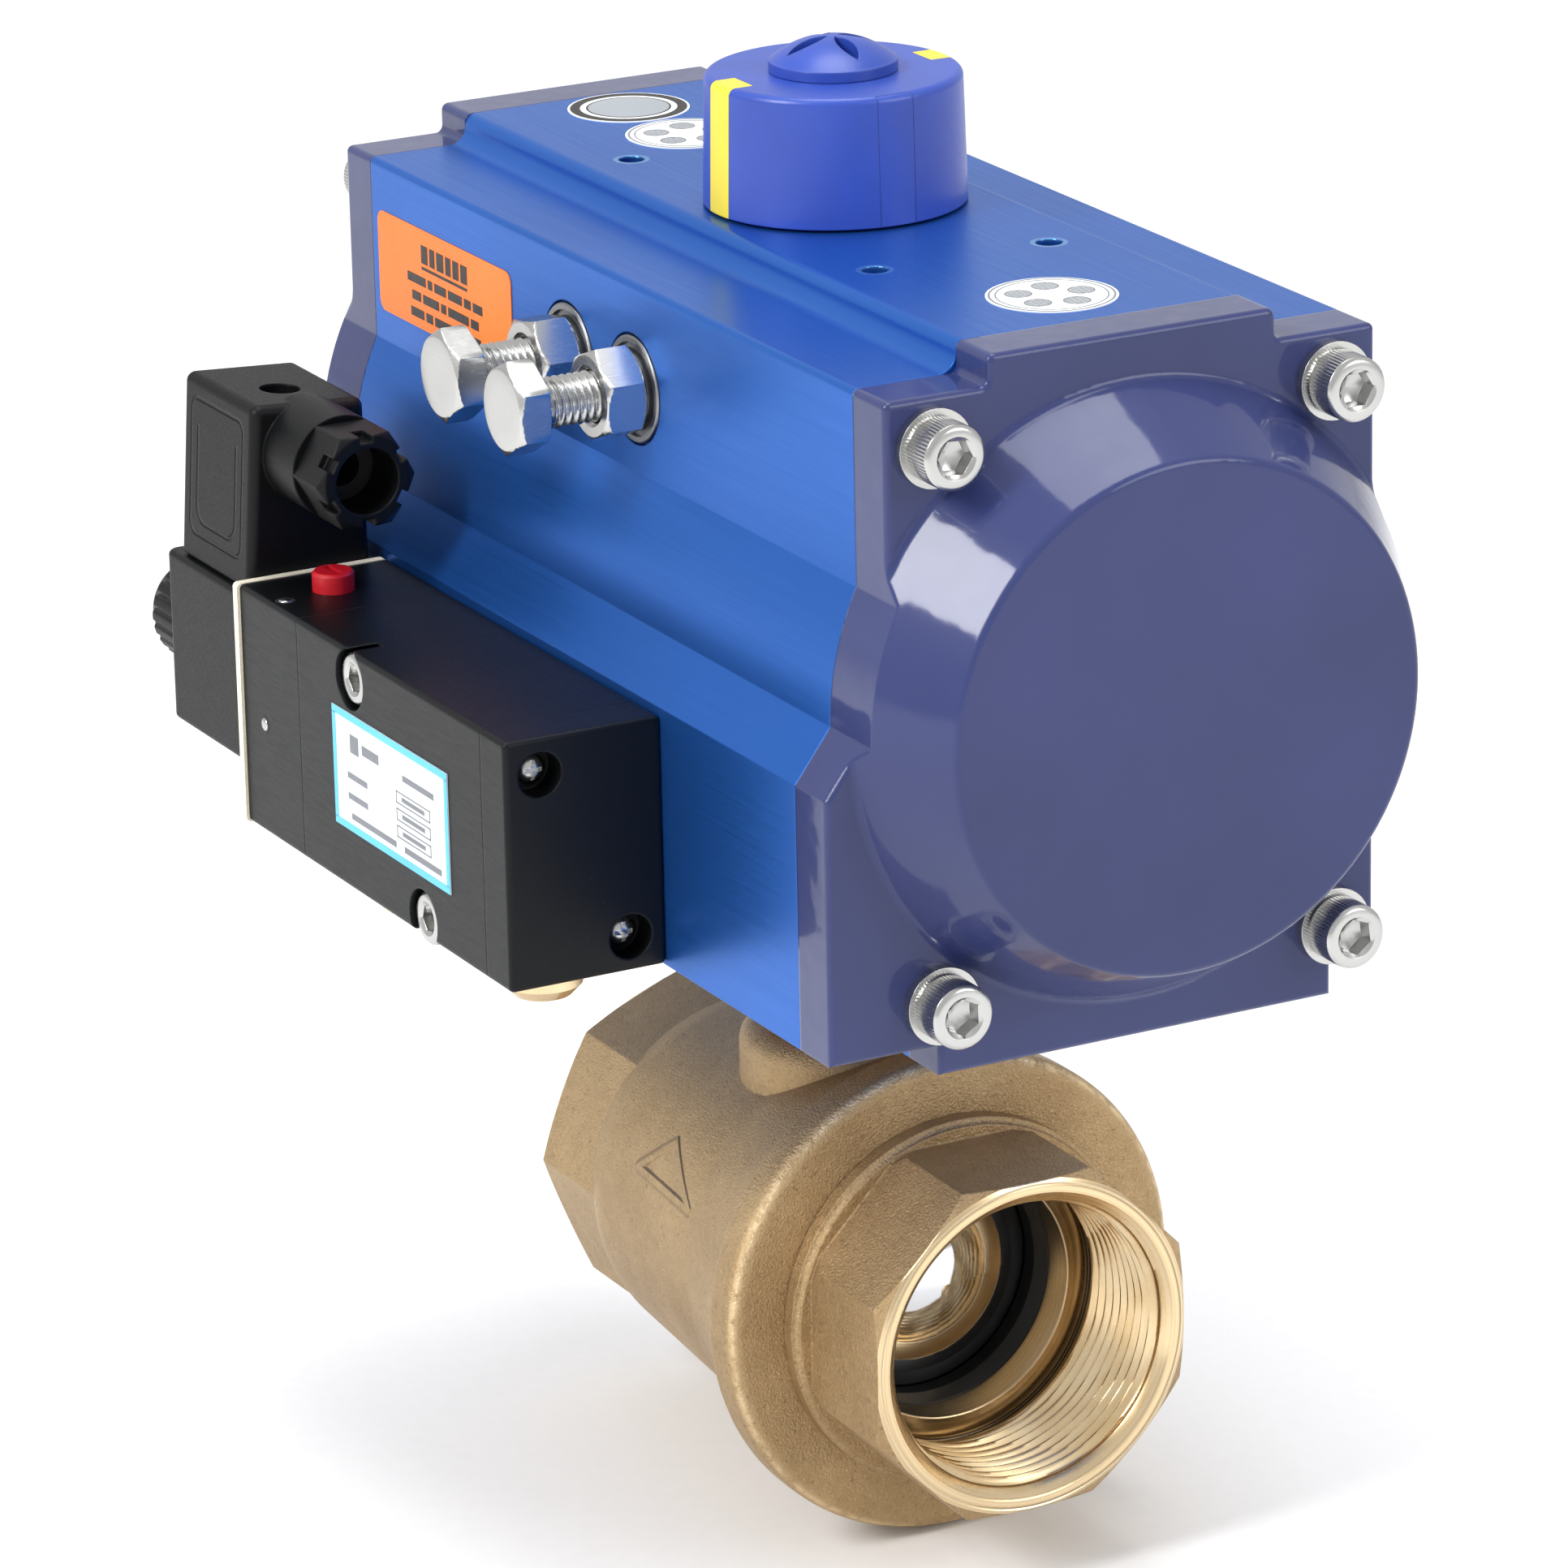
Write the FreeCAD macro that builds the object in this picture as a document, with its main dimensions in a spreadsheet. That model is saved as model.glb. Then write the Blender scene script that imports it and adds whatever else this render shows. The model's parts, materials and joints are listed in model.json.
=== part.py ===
"""Pneumatic actuated ball valve, built as an assembly of separate pieces.

Frame: +X out of the front pipe port, -Y to the solenoid valve's side, +Z up the stem.
The origin is on the pipe axis, where the front port's thread starts behind its chamfer. Millimetres.
At rest the valve is closed: the pistons are in, and the return springs are long.
"""

import FreeCAD, Part
import math
import os
from types import SimpleNamespace

import Sketcher
from FreeCAD import Placement, Rotation, Vector

SIZES = {
    # where the stem axis and the cylinder axis lie
    "stem_x": -56.3,
    "axis_height": 116.1,
    # actuator body section, from the cylinder axis
    "body_half": 81.15,
    "bore_radius": 40.0,
    "bulge_radius": 46.0,
    "wall_y": 41.3,
    "bulge_z": 20.25,
    "shoulder_z": 50.0,
    "deck_y": 24.2,
    "deck_z": 54.75,
    "deck_edge": 1.75,
    "deck_hollow": 3.0,
    "cap_step_round": 1.2,
    "shoulder_round": 1.0,
    "pad_y": 52.0,
    "pad_top": -8.3,
    "pad_bottom": -49.4,
    "foot_y": 33.8,
    "foot_z": -54.05,
    # top hole pattern, for accessories (80 by 30, M5)
    "top_pitch_x": 80.0,
    "top_pitch_y": 30.0,
    "tapped_five": 2.1,
    "tapped_depth": 8.0,
    # valve mounting pattern, F05: four M6 holes on a 50 circle
    "mount_circle": 50.0,
    "mount_hole": 3.05,
    # solenoid interface: 24 by 32, M5
    "port_x": -4.0,
    "port_z": -30.3,
    "port_pitch_x": 24.0,
    "port_pitch_z": 32.0,
    "port_radius": 4.5,
    # end caps
    "cap_thick": 9.5,
    "cap_depth": 25.4,
    "cap_wall": 4.0,
    "dome_lean": 28.35,
    "dome_flat": 38.3,
    "dome_edge": 1.3,
    "dome_hollow": 1.2,
    "plate_round": 0.9,
    "cavity_radius": 35.5,
    "cap_screw_y": 33.7,
    "cap_screw_z": 42.6,
    # fasteners
    "six_shank": 3.0,
    "six_head": 5.0,
    "six_head_long": 6.0,
    "five_shank": 2.5,
    "five_head": 4.25,
    "five_head_long": 5.0,
    "washer_radius": 6.0,
    "washer_thick": 1.5,
    # rack and pinion
    "gear_module": 2.0,
    "gear_teeth": 14.0,
    "pinion_tip": 15.8,
    "pinion_root": 12.0,
    "rack_addendum": 1.6,
    "rack_dedendum": 2.1,
    "rack_back": 24.0,
    "rack_half": 9.0,
    "gear_half": 10.5,
    "tooth_play": 0.2,
    # pistons
    "piston_inner": 32.0,
    "piston_thick": 12.0,
    "piston_radius": 39.6,
    "ring_radius": 39.94,
    "recess_inner": 22.0,
    "recess_outer": 33.0,
    "recess_depth": 7.0,
    "spring_radius": 27.5,
    "spring_wire": 2.2,
    # pinion shaft
    "upper_journal": 11.0,
    "lower_journal": 13.0,
    "upper_bore": 14.0,
    "lower_bore": 16.0,
    "stub_radius": 8.0,
    "stub_top": 70.6,
    "square_width": 11.0,
    # travel stops
    "stop_x": 11.0,
    "stop_z": 33.3,
    "stop_shank": 4.0,
    "stop_tip": 12.05,
    "stop_head_face": 63.6,
    "hex_eight": 13.0,
    "stop_head_thick": 5.3,
    "stop_nut_thick": 6.8,
    "stop_ring": 8.4,
    "stop_recess": 8.75,
    "stop_recess_depth": 1.2,
    "cam_low": 28.0,
    "cam_high": 34.5,
    "cam_face": 12.0,
    # indicator
    "indicator_low": 55.2,
    "indicator_high": 75.5,
    "indicator_foot": 20.5,
    "indicator_rim": 20.0,
    "indicator_wall": 3.0,
    "indicator_round": 1.2,
    "stripe_width": 6.1,
    "stripe_fold": 4.5,
    "stripe_depth": 1.4,
    "knob_radius": 10.0,
    # solenoid valve block
    "block_front": 78.3,
    "block_top": -9.5,
    "block_bottom": -49.1,
    "pilot_left": -56.5,
    "main_left": -35.2,
    "cover_left": 30.1,
    "cover_right": 38.3,
    "spool_y": -65.0,
    "spool_z": -30.3,
    "spool_radius": 6.0,
    "block_round": 0.8,
    "fixing_depth": 5.5,
    "gasket_thick": 1.6,
    "button_x": -46.5,
    "button_y": -66.5,
    "button_radius": 3.4,
    "button_top": -6.3,
    # coil and plug
    "coil_left": -88.9,
    "coil_front": 77.0,
    "coil_back": 54.0,
    "coil_top": -11.9,
    "coil_bottom": -40.6,
    "tube_radius": 4.5,
    "tube_z": -27.5,
    "coil_nut_radius": 9.0,
    "coil_nut_long": 17.0,
    "plug_left": -85.0,
    "plug_front_low": 75.9,
    "plug_front_high": 73.9,
    "plug_back": 54.4,
    "plug_top_front": 18.5,
    "plug_top_back": 17.2,
    "gland_y": -64.0,
    "gland_z": 10.0,
    "gland_face": -37.5,
    "gland_boss": 8.5,
    "gland_nut_long": 9.4,
    "gland_flats": 14.8,
    "gland_hole": 5.4,
    # ball valve
    "front_face": 57.8,
    "rear_face": -55.0,
    "port_chamfer": 1.5,
    "octagon_flats": 54.5,
    "port_thread": 23.9,
    "thread_end": 35.0,
    "relief_radius": 24.4,
    "relief_end": 33.0,
    "lip_radius": 20.4,
    "seat_outer_face": 27.0,
    "seat_pocket": 24.06,
    "seat_bore": 19.5,
    "seat_mouth": 20.2,
    "seat_facet": 3.0,
    "ball_radius": 28.5,
    "ball_bore": 17.5,
    "ball_slot_floor": 23.5,
    "seat_play": 0.15,
    "cavity_valve": 29.2,
    "cavity_end": 12.0,
    "cavity_neck": 26.4,
    "cavity_neck_x": -15.8,
    "spigot_radius": 29.7,
    "seal_place": 20.0,
    "seal_groove": 28.2,
    "seal_width": 2.0,
    "flange_radius": 39.8,
    "flange_back": 24.0,
    "flange_front": 32.3,
    "collar_radius": 30.3,
    "collar_end": 36.0,
    "boss_radius": 14.5,
    "boss_foot": 18.0,
    "pad_half": 25.0,
    "pad_low": 54.0,
    "stem_radius": 7.0,
    "stem_collar": 9.6,
    "collar_low": 29.0,
    "collar_high": 32.2,
    "collar_seat": 34.2,
    "packing_radius": 11.0,
}


class Size:
    """A length with its number and the sheet expression that gives it."""

    def __init__(self, number, text):
        self.number = number
        self.text = text

    def join(self, sign, other, number):
        return Size(number, f"({self.text} {sign} {size(other).text})")

    def __add__(self, other):
        return self.join("+", other, self.number + size(other).number)

    def __radd__(self, other):
        return size(other) + self

    def __sub__(self, other):
        return self.join("-", other, self.number - size(other).number)

    def __rsub__(self, other):
        return size(other) - self

    def __mul__(self, other):
        return self.join("*", other, self.number * size(other).number)

    def __rmul__(self, other):
        return size(other) * self

    def __truediv__(self, other):
        return self.join("/", other, self.number / size(other).number)

    def __neg__(self):
        return size(0) - self


def size(value):
    """A plain number becomes a Size; a Size stays as it is."""
    if isinstance(value, Size):
        return value
    return Size(float(value), f"({float(value):.6f})")


DOC = FreeCAD.newDocument("actuated_valve")
SHEET = DOC.addObject("Spreadsheet::Sheet", "Sizes")
for row, (alias, value) in enumerate(SIZES.items(), start=1):
    SHEET.set(f"A{row}", alias)
    SHEET.set(f"B{row}", str(value))
    SHEET.setAlias(f"B{row}", alias)
DOC.recompute()
D = SimpleNamespace(**{alias: Size(value, f"Sizes.{alias}") for alias, value in SIZES.items()})
NODES = []

# turns that lay a piece's own +Z along a direction
FACING = {
    "+Z": Rotation(),
    "-Z": Rotation(Vector(1, 0, 0), 180),
    "+X": Rotation(Vector(0, 1, 0), 90),
    "-X": Rotation(Vector(0, 1, 0), -90),
    "-Y": Rotation(Vector(1, 0, 0), 90),
}


def bind(target, path, value):
    """Bind a property to its sheet expression."""
    target.setExpression(path, size(value).text)


def place(target, position, facing="+Z"):
    """Give an object its place, bound to the sheet, and its direction."""
    target.Placement = Placement(Vector(), FACING[facing])
    for letter, value in zip("xyz", position):
        bind(target, f"Placement.Base.{letter}", value)


def actuator(along=0, across=0, up=0):
    """A position measured from the stem axis and the cylinder axis."""
    return (D.stem_x + along, size(across), D.axis_height + up)


def valve(along=0, across=0, up=0):
    """A position measured from the stem axis and the pipe axis."""
    return (D.stem_x + along, size(across), size(up))


def new_body(name, position, facing="+Z"):
    body = DOC.addObject("PartDesign::Body", name)
    body.Label = name
    place(body, position, facing)
    return body


def keep(node, label):
    """Mark an object as one of the assembly's named pieces."""
    node.Label = label
    NODES.append(node)
    return node


def group(label, members):
    """Identical pieces that share one node as separate solids."""
    node = DOC.addObject("Part::Compound", label)
    node.Links = members
    return keep(node, label)


def new_sketch(body, plane, offset):
    sketch = body.newObject("Sketcher::SketchObject", "Sketch")
    role = f"{plane}_Plane"
    base = [item for item in body.Origin.OriginFeatures if item.Role == role][0]
    sketch.AttachmentSupport = [(base, "")]
    sketch.MapMode = "FlatFace"
    bind(sketch, "AttachmentOffset.Base.z", offset)
    return sketch


def fix_point(sketch, index, end, point):
    """Hold one end of a segment, or a circle's centre, at sheet coordinates."""
    for kind, value in zip(("DistanceX", "DistanceY"), point):
        number = sketch.addConstraint(Sketcher.Constraint(kind, index, end, size(value).number))
        bind(sketch, f"Constraints[{number}]", value)


def fix_radius(sketch, index, radius):
    number = sketch.addConstraint(Sketcher.Constraint("Radius", index, size(radius).number))
    bind(sketch, f"Constraints[{number}]", radius)


def arc_between(start, end, radius):
    """The short arc from start to end, anticlockwise for a positive radius."""
    if radius < 0:
        return arc_between(end, start, -radius)
    chord = end - start
    half = chord.Length / 2
    left = Vector(-chord.y, chord.x, 0).normalize()
    centre = start + chord * 0.5 + left * math.sqrt(max(radius**2 - half**2, 0))
    first = math.atan2(start.y - centre.y, start.x - centre.x)
    last = math.atan2(end.y - centre.y, end.x - centre.x)
    if last < first:
        last += 2 * math.pi
    return Part.ArcOfCircle(Part.Circle(centre, Vector(0, 0, 1), radius), first, last)


def outline(sketch, points):
    """A closed outline. A third value is the radius of the arc that leads to that point."""
    first = sketch.GeometryCount
    ends = []
    for index, point in enumerate(points):
        before = points[index - 1]
        start = Vector(size(before[0]).number, size(before[1]).number, 0)
        finish = Vector(size(point[0]).number, size(point[1]).number, 0)
        if len(point) == 3:
            sketch.addGeometry(arc_between(start, finish, size(point[2]).number), False)
            ends.append((1, 2) if size(point[2]).number > 0 else (2, 1))
        else:
            sketch.addGeometry(Part.LineSegment(start, finish), False)
            ends.append((1, 2))
    for index, point in enumerate(points):
        after = (index + 1) % len(points)
        sketch.addConstraint(
            Sketcher.Constraint("Coincident", first + index, ends[index][1], first + after, ends[after][0])
        )
    for index, point in enumerate(points):
        fix_point(sketch, first + index, ends[index][1], point[:2])
        if len(point) == 3:
            radius = point[2] if size(point[2]).number > 0 else -size(point[2])
            fix_radius(sketch, first + index, radius)


def circle(sketch, across, up, radius):
    centre = Vector(size(across).number, size(up).number, 0)
    index = sketch.addGeometry(Part.Circle(centre, Vector(0, 0, 1), size(radius).number), False)
    fix_point(sketch, index, 3, (across, up))
    fix_radius(sketch, index, radius)


def draw(sketch, shapes):
    """Draw outlines (lists of points) and circles (tuples: across, up, radius)."""
    for shape in shapes:
        if isinstance(shape, tuple):
            circle(sketch, *shape)
        else:
            outline(sketch, shape)


def polygon(sides, flats, turn=0.0, centre=(0, 0)):
    """A regular polygon by its width across flats; turn is the first corner's angle."""
    corner = size(flats) * (0.5 / math.cos(math.pi / sides))
    points = []
    for index in range(sides):
        angle = math.radians(turn + 360.0 * index / sides)
        points.append((centre[0] + corner * math.cos(angle), centre[1] + corner * math.sin(angle)))
    return points


def rectangle(left, low, right, high):
    return [(left, low), (right, low), (right, high), (left, high)]


def rounded(left, low, right, high, radius):
    """A rectangle with its four corners rounded."""
    return [
        (right - radius, low),
        (right, low + radius, radius),
        (right, high - radius),
        (right - radius, high, radius),
        (left + radius, high),
        (left, high - radius, radius),
        (left, low + radius),
        (left + radius, low, radius),
    ]


def soften(body, radius, chosen):
    """Round the edges whose middle passes a test, in the body's own coordinates."""
    tip = body.Tip
    names = []
    for number, edge in enumerate(tip.Shape.Edges, start=1):
        middle = edge.valueAt((edge.FirstParameter + edge.LastParameter) / 2)
        if chosen(middle):
            names.append(f"Edge{number}")
    rounding = body.newObject("PartDesign::Fillet", "Rounding")
    rounding.Base = (tip, names)
    rounding.Radius = size(radius).number
    bind(rounding, "Radius", radius)
    return finish(body, tip.Shape.Volume, True)


def extrude(body, plane, shapes, start, end, cut=False):
    """Pad, or pocket, between two positions along the plane's axis (XY: z, XZ: y, YZ: x)."""
    along = -1 if plane == "XZ" else 1
    sketch = new_sketch(body, plane, size(start) * along)
    draw(sketch, shapes)
    before = body.Shape.Volume if cut else 0
    feature = body.newObject("PartDesign::Pocket" if cut else "PartDesign::Pad", "Extrusion")
    feature.Profile = sketch
    forward = (size(end).number > size(start).number) == (along == 1)
    feature.Reversed = forward if cut else not forward
    longer = size(end).number > size(start).number
    bind(feature, "Length", size(end) - start if longer else size(start) - end)
    return finish(body, before, cut)


def turn(body, axis, points, cut=False):
    """Revolve an outline of (along, radius) points about the body's own X, Y or Z axis."""
    sketch = new_sketch(body, "YZ" if axis == "Y" else "XZ", 0)
    if axis == "Z":
        points = [(point[1], point[0], *point[2:]) for point in points]
    draw(sketch, [points])
    before = body.Shape.Volume if cut else 0
    feature = body.newObject("PartDesign::Groove" if cut else "PartDesign::Revolution", "Turning")
    feature.Profile = sketch
    feature.ReferenceAxis = (sketch, ["V_Axis" if axis == "Z" else "H_Axis"])
    feature.Angle = 360
    return finish(body, before, cut)


def finish(body, before, cut):
    """Recompute, and make sure that a cut has removed material."""
    DOC.recompute()
    if cut and not body.Shape.Volume < before - 0.01:
        raise RuntimeError(f"a cut in {body.Label} removed nothing")
    return body


def ring(label, position, facing, inner, outer, thick):
    """A washer, seal or bush: its own axis is Z, and it starts at the position."""
    body = new_body(label, position, facing)
    return extrude(body, "XY", [(0, 0, outer), (0, 0, inner)], 0, thick)


def socket_screw(label, position, facing, head, head_long, shank, shank_long, key):
    """A socket head screw: the position is the middle of the face under its head."""
    body = new_body(label, position, facing)
    rim = 0.4
    points = [(-shank_long, 0), (-shank_long, shank), (0, shank), (0, head)]
    points += [(head_long - rim, head), (head_long, head - rim), (head_long, 0)]
    turn(body, "Z", points)
    return extrude(body, "XY", [polygon(6, key)], head_long, head_long * 0.45, cut=True)


# ---- actuator housing ----


def section(edge, hollow):
    """The section that the body and the caps share, seen along X (across, up).

    The step beside the deck has a rounded edge, and a hollow where it meets the shoulder.
    """
    slope_z = size(-0.4)
    soft = D.shoulder_round
    step = [(D.deck_y - edge, D.deck_z), (D.deck_y, D.deck_z - edge, -edge)]
    mirrored = [(-D.deck_y, D.deck_z - edge), (-D.deck_y + edge, D.deck_z, -edge)]
    straight = D.deck_z - D.shoulder_z - edge - hollow
    if straight.number > 0.1:
        step.append((D.deck_y, D.shoulder_z + hollow))
        mirrored.insert(0, (-D.deck_y, D.shoulder_z + hollow, hollow))
    else:
        mirrored[0] = (*mirrored[0], hollow)
    right = step + [
        (D.deck_y + hollow, D.shoulder_z, hollow),
        (D.wall_y - soft, D.shoulder_z),
        (D.wall_y, D.shoulder_z - soft, -soft),
        (D.wall_y, D.bulge_z),
        (D.wall_y, -D.bulge_z, -D.bulge_radius),
        (D.wall_y, D.pad_bottom),
        (D.foot_y, D.pad_bottom),
        (D.foot_y, D.foot_z),
    ]
    left = [
        (-D.foot_y, D.foot_z),
        (-D.foot_y, D.pad_bottom),
        (-D.pad_y, D.pad_bottom),
        (-D.pad_y, D.pad_top),
        (-D.bulge_radius, slope_z),
        (-D.wall_y, D.bulge_z, -D.bulge_radius),
        (-D.wall_y, D.shoulder_z - soft),
        (-D.wall_y + soft, D.shoulder_z, -soft),
        (-D.deck_y - hollow, D.shoulder_z),
    ]
    return right + left + mirrored


def corners(half_across, half_up):
    """The four corners of a rectangular pattern."""
    return [(x * half_across, z * half_up) for x in (-1, 1) for z in (-1, 1)]


def actuator_body():
    body = new_body("actuator_body", actuator())
    extrude(body, "YZ", [section(D.deck_edge, D.deck_hollow)], -D.body_half, D.body_half)
    extrude(body, "YZ", [(0, 0, D.bore_radius)], -D.body_half, D.body_half, cut=True)
    extrude(body, "XY", [(0, 0, D.upper_bore)], D.deck_z, 0, cut=True)
    extrude(body, "XY", [(0, 0, D.lower_bore)], D.foot_z, 0, cut=True)
    tapped = [(x, y, D.tapped_five) for x, y in corners(D.top_pitch_x / 2, D.top_pitch_y / 2)]
    extrude(body, "XY", tapped, D.deck_z, D.deck_z - D.tapped_depth, cut=True)
    foot = D.mount_circle * (math.sqrt(0.5) / 2)
    fixings = [(x, y, D.mount_hole) for x, y in corners(foot, foot)]
    extrude(body, "XY", fixings, D.foot_z, D.foot_z + 10, cut=True)
    screw_depth = 18
    for side in (-1, 1):
        holes = [(y, z, D.six_shank + 0.05) for y, z in corners(D.cap_screw_y, D.cap_screw_z)]
        end = side * D.body_half
        extrude(body, "YZ", holes, end, end - side * screw_depth, cut=True)
    stops = [(side * D.stop_x, D.stop_z, D.stop_shank + 0.05) for side in (-1, 1)]
    extrude(body, "XZ", stops, -D.wall_y, 0, cut=True)
    recesses = [(side * D.stop_x, D.stop_z, D.stop_recess) for side in (-1, 1)]
    extrude(body, "XZ", recesses, -D.wall_y, -D.wall_y + D.stop_recess_depth, cut=True)
    solenoid_face(body)
    return keep(body, "actuator_body")


def solenoid_face(body):
    """Air ports, their channels and the tapped holes in the side pad."""
    pad_depth = 9
    low_x, high_x = [D.port_x + side * D.port_pitch_x / 2 for side in (-1, 1)]
    ports = [(low_x, D.port_z, D.port_radius), (high_x, D.port_z, D.port_radius)]
    extrude(body, "XZ", ports, -D.pad_y, -D.pad_y + pad_depth, cut=True)
    channel = 2.5
    extrude(body, "XZ", [(low_x, D.port_z, channel)], -D.pad_y, 0, cut=True)
    extrude(body, "YZ", [(-D.pad_y + 8, D.port_z - 6, channel)], -D.body_half, D.body_half, cut=True)
    tapped = [
        (D.port_x + x, D.port_z + z, D.five_shank + 0.05)
        for x, z in corners(D.port_pitch_x / 2, D.port_pitch_z / 2)
    ]
    extrude(body, "XZ", tapped, -D.pad_y, -D.pad_y + pad_depth, cut=True)


def end_cap(label, side):
    """A cap: a plate with the body's section and a hollow dome. side is +1 in front, -1 behind."""
    body = new_body(label, actuator(side * D.body_half))
    plate = section(D.cap_step_round, D.cap_step_round)
    extrude(body, "YZ", [plate], 0, side * D.cap_depth)
    turn(body, "X", dome_outside(side), cut=True)
    plate_face = side * SIZES["cap_thick"]
    soften(body, D.plate_round, lambda middle: on_plate_rim(middle, plate_face))
    floor = D.cap_depth - D.cap_wall
    cavity = [
        (0, 0),
        (0, D.cavity_radius),
        (side * (floor - 3), D.cavity_radius),
        (side * floor, D.cavity_radius - 3),
        (side * floor, 0),
    ]
    turn(body, "X", cavity, cut=True)
    groove = [(0, 0, D.bore_radius + 3.3), (0, 0, D.bore_radius + 0.7)]
    extrude(body, "YZ", groove, 0, side * 1.9, cut=True)
    holes = [(y, z, D.six_shank + 0.2) for y, z in corners(D.cap_screw_y, D.cap_screw_z)]
    extrude(body, "YZ", holes, side * D.cap_thick, 0, cut=True)
    return keep(body, label)


def dome_outside(side):
    """What is turned away around the dome: a cone with a hollow foot and a rounded edge."""
    lean = math.radians(SIZES["dome_lean"])
    edge, foot = D.dome_edge, D.dome_hollow
    beyond = 80
    top_x = D.cap_depth - edge + edge * math.sin(lean)
    top_radius = D.dome_flat + edge * math.cos(lean)
    foot_x = D.cap_thick + foot - foot * math.sin(lean)
    foot_radius = top_radius + (top_x - foot_x) * math.tan(lean)
    return [
        (side * D.cap_thick, beyond),
        (side * D.cap_thick, foot_radius + foot * math.cos(lean)),
        (side * foot_x, foot_radius, side * foot),
        (side * top_x, top_radius),
        (side * D.cap_depth, D.dome_flat, -side * edge),
        (side * (D.cap_depth + 1), D.dome_flat),
        (side * (D.cap_depth + 1), beyond),
    ]


def on_plate_rim(middle, plate_face):
    """Whether an edge lies on the rim of a cap's plate, outside the dome."""
    dome_foot = 50
    return abs(middle.x - plate_face) < 0.01 and math.hypot(middle.y, middle.z) > dome_foot


def cap_fasteners():
    washers = []
    for label, side in (("cap_screws_front", 1), ("cap_screws_back", -1)):
        facing = "+X" if side > 0 else "-X"
        seat = D.body_half + D.cap_thick
        screws = []
        for y, z in corners(D.cap_screw_y, D.cap_screw_z):
            under = seat + D.washer_thick
            position = actuator(side * under, y, z)
            long = 26
            screws.append(
                socket_screw("cap_screw", position, facing, D.six_head, D.six_head_long, D.six_shank, long, 5)
            )
            position = actuator(side * seat, y, z)
            washers.append(
                ring("cap_washer", position, facing, D.six_shank + 0.15, D.washer_radius, D.washer_thick)
            )
        group(label, screws)
    group("cap_washers", washers)
    inner = D.bore_radius + 0.8
    outer = D.bore_radius + 3.2
    seals = []
    for side, facing in ((1, "+X"), (-1, "-X")):
        seals.append(ring("cap_seal", actuator(side * D.body_half), facing, inner, outer, 1.8))
    group("cap_seals", seals)


# ---- rack and pinion ----


def rack_outline(side):
    """A rack bar with straight-sided teeth, seen from above. Its gap lies on the stem axis."""
    module = D.gear_module
    pitch_line = module * D.gear_teeth / 2
    tooth = module * math.pi
    flank = math.tan(math.radians(20))
    half_tooth = tooth / 4 - D.tooth_play / 4
    tip = pitch_line - D.rack_addendum
    root = pitch_line + D.rack_dedendum
    at_tip = half_tooth - D.rack_addendum * flank
    at_root = half_tooth + D.rack_dedendum * flank
    far = -30
    teeth = []
    count = 5
    for number in range(-count, count):
        middle = tooth * (number + 0.5)
        teeth += [
            (middle - at_root, root),
            (middle - at_tip, tip),
            (middle + at_tip, tip),
            (middle + at_root, root),
        ]
    bar = [(far, root)] + teeth[2 * 2 :] + [(D.piston_inner + 1, root), (D.piston_inner + 1, D.rack_back)]
    bar.append((far, D.rack_back))
    return [(side * along, -side * across) for along, across in bar]


def piston(label, side):
    """A piston with its rack; its own origin is on the stem axis, at the cylinder axis."""
    body = new_body(label, actuator())
    inner = D.piston_inner
    outer = inner + D.piston_thick
    band_groove = 38.0
    seal_groove = 36.8
    points = [
        (inner, 0),
        (inner, D.piston_radius),
        (inner + 2, D.piston_radius),
        (inner + 2, band_groove),
        (inner + 4.6, band_groove),
        (inner + 4.6, D.piston_radius),
        (inner + 7, D.piston_radius),
        (inner + 7, seal_groove),
        (inner + 9.8, seal_groove),
        (inner + 9.8, D.piston_radius),
        (outer, D.piston_radius),
        (outer, D.recess_outer),
        (outer - D.recess_depth, D.recess_outer),
        (outer - D.recess_depth, D.recess_inner),
        (outer, D.recess_inner),
        (outer, 0),
    ]
    turn(body, "X", [(side * size(along), radius) for along, radius in points])
    extrude(body, "XY", [rack_outline(side)], -D.rack_half, D.rack_half)
    keep(body, label)
    return body


def piston_rings(name, side):
    """The guide band and the seal in a piston's grooves."""
    facing = "+X" if side > 0 else "-X"
    band = D.piston_inner + 2.1
    guide = ring(f"piston_band_{name}", actuator(side * band), facing, 38.05, D.ring_radius, 2.4)
    keep(guide, f"piston_band_{name}")
    seal = D.piston_inner + 7.1
    packing = ring(f"piston_seal_{name}", actuator(side * seal), facing, 36.85, D.ring_radius, 2.6)
    keep(packing, f"piston_seal_{name}")


def wire_section(radius, wire, rise):
    """A spring wire's section, square to the helix: sixteen flats with the round wire's area."""
    along = Vector(0, radius, rise / (2 * math.pi)).normalize()
    out = Vector(1, 0, 0)
    up = along.cross(out)
    sides = 16
    step = 2 * math.pi / sides
    reach = wire * math.sqrt(step / math.sin(step))
    points = []
    for number in range(sides):
        angle = step * (number + 0.5)
        points.append(Vector(radius, 0, 0) + out * (reach * math.cos(angle)) + up * (reach * math.sin(angle)))
    return Part.makePolygon(points + points[:1])


def coil_spring(label, position, facing, radius, wire, length, turns):
    """A compression spring along its own Z, with its wire's ends inside its length."""
    radius, wire, length = [size(value).number for value in (radius, wire, length)]
    height = length - 2 * wire
    rise = height / turns
    helix = Part.Wire(Part.makeHelix(rise, height, radius).Edges)
    node = DOC.addObject("Part::Feature", label)
    node.Shape = helix.makePipeShell([wire_section(radius, wire, rise)], True, True)
    lift = {"+X": (wire, 0, 0), "-X": (-wire, 0, 0)}[facing]
    place(node, [value + step for value, step in zip(position, lift)], facing)
    return keep(node, label)


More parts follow.
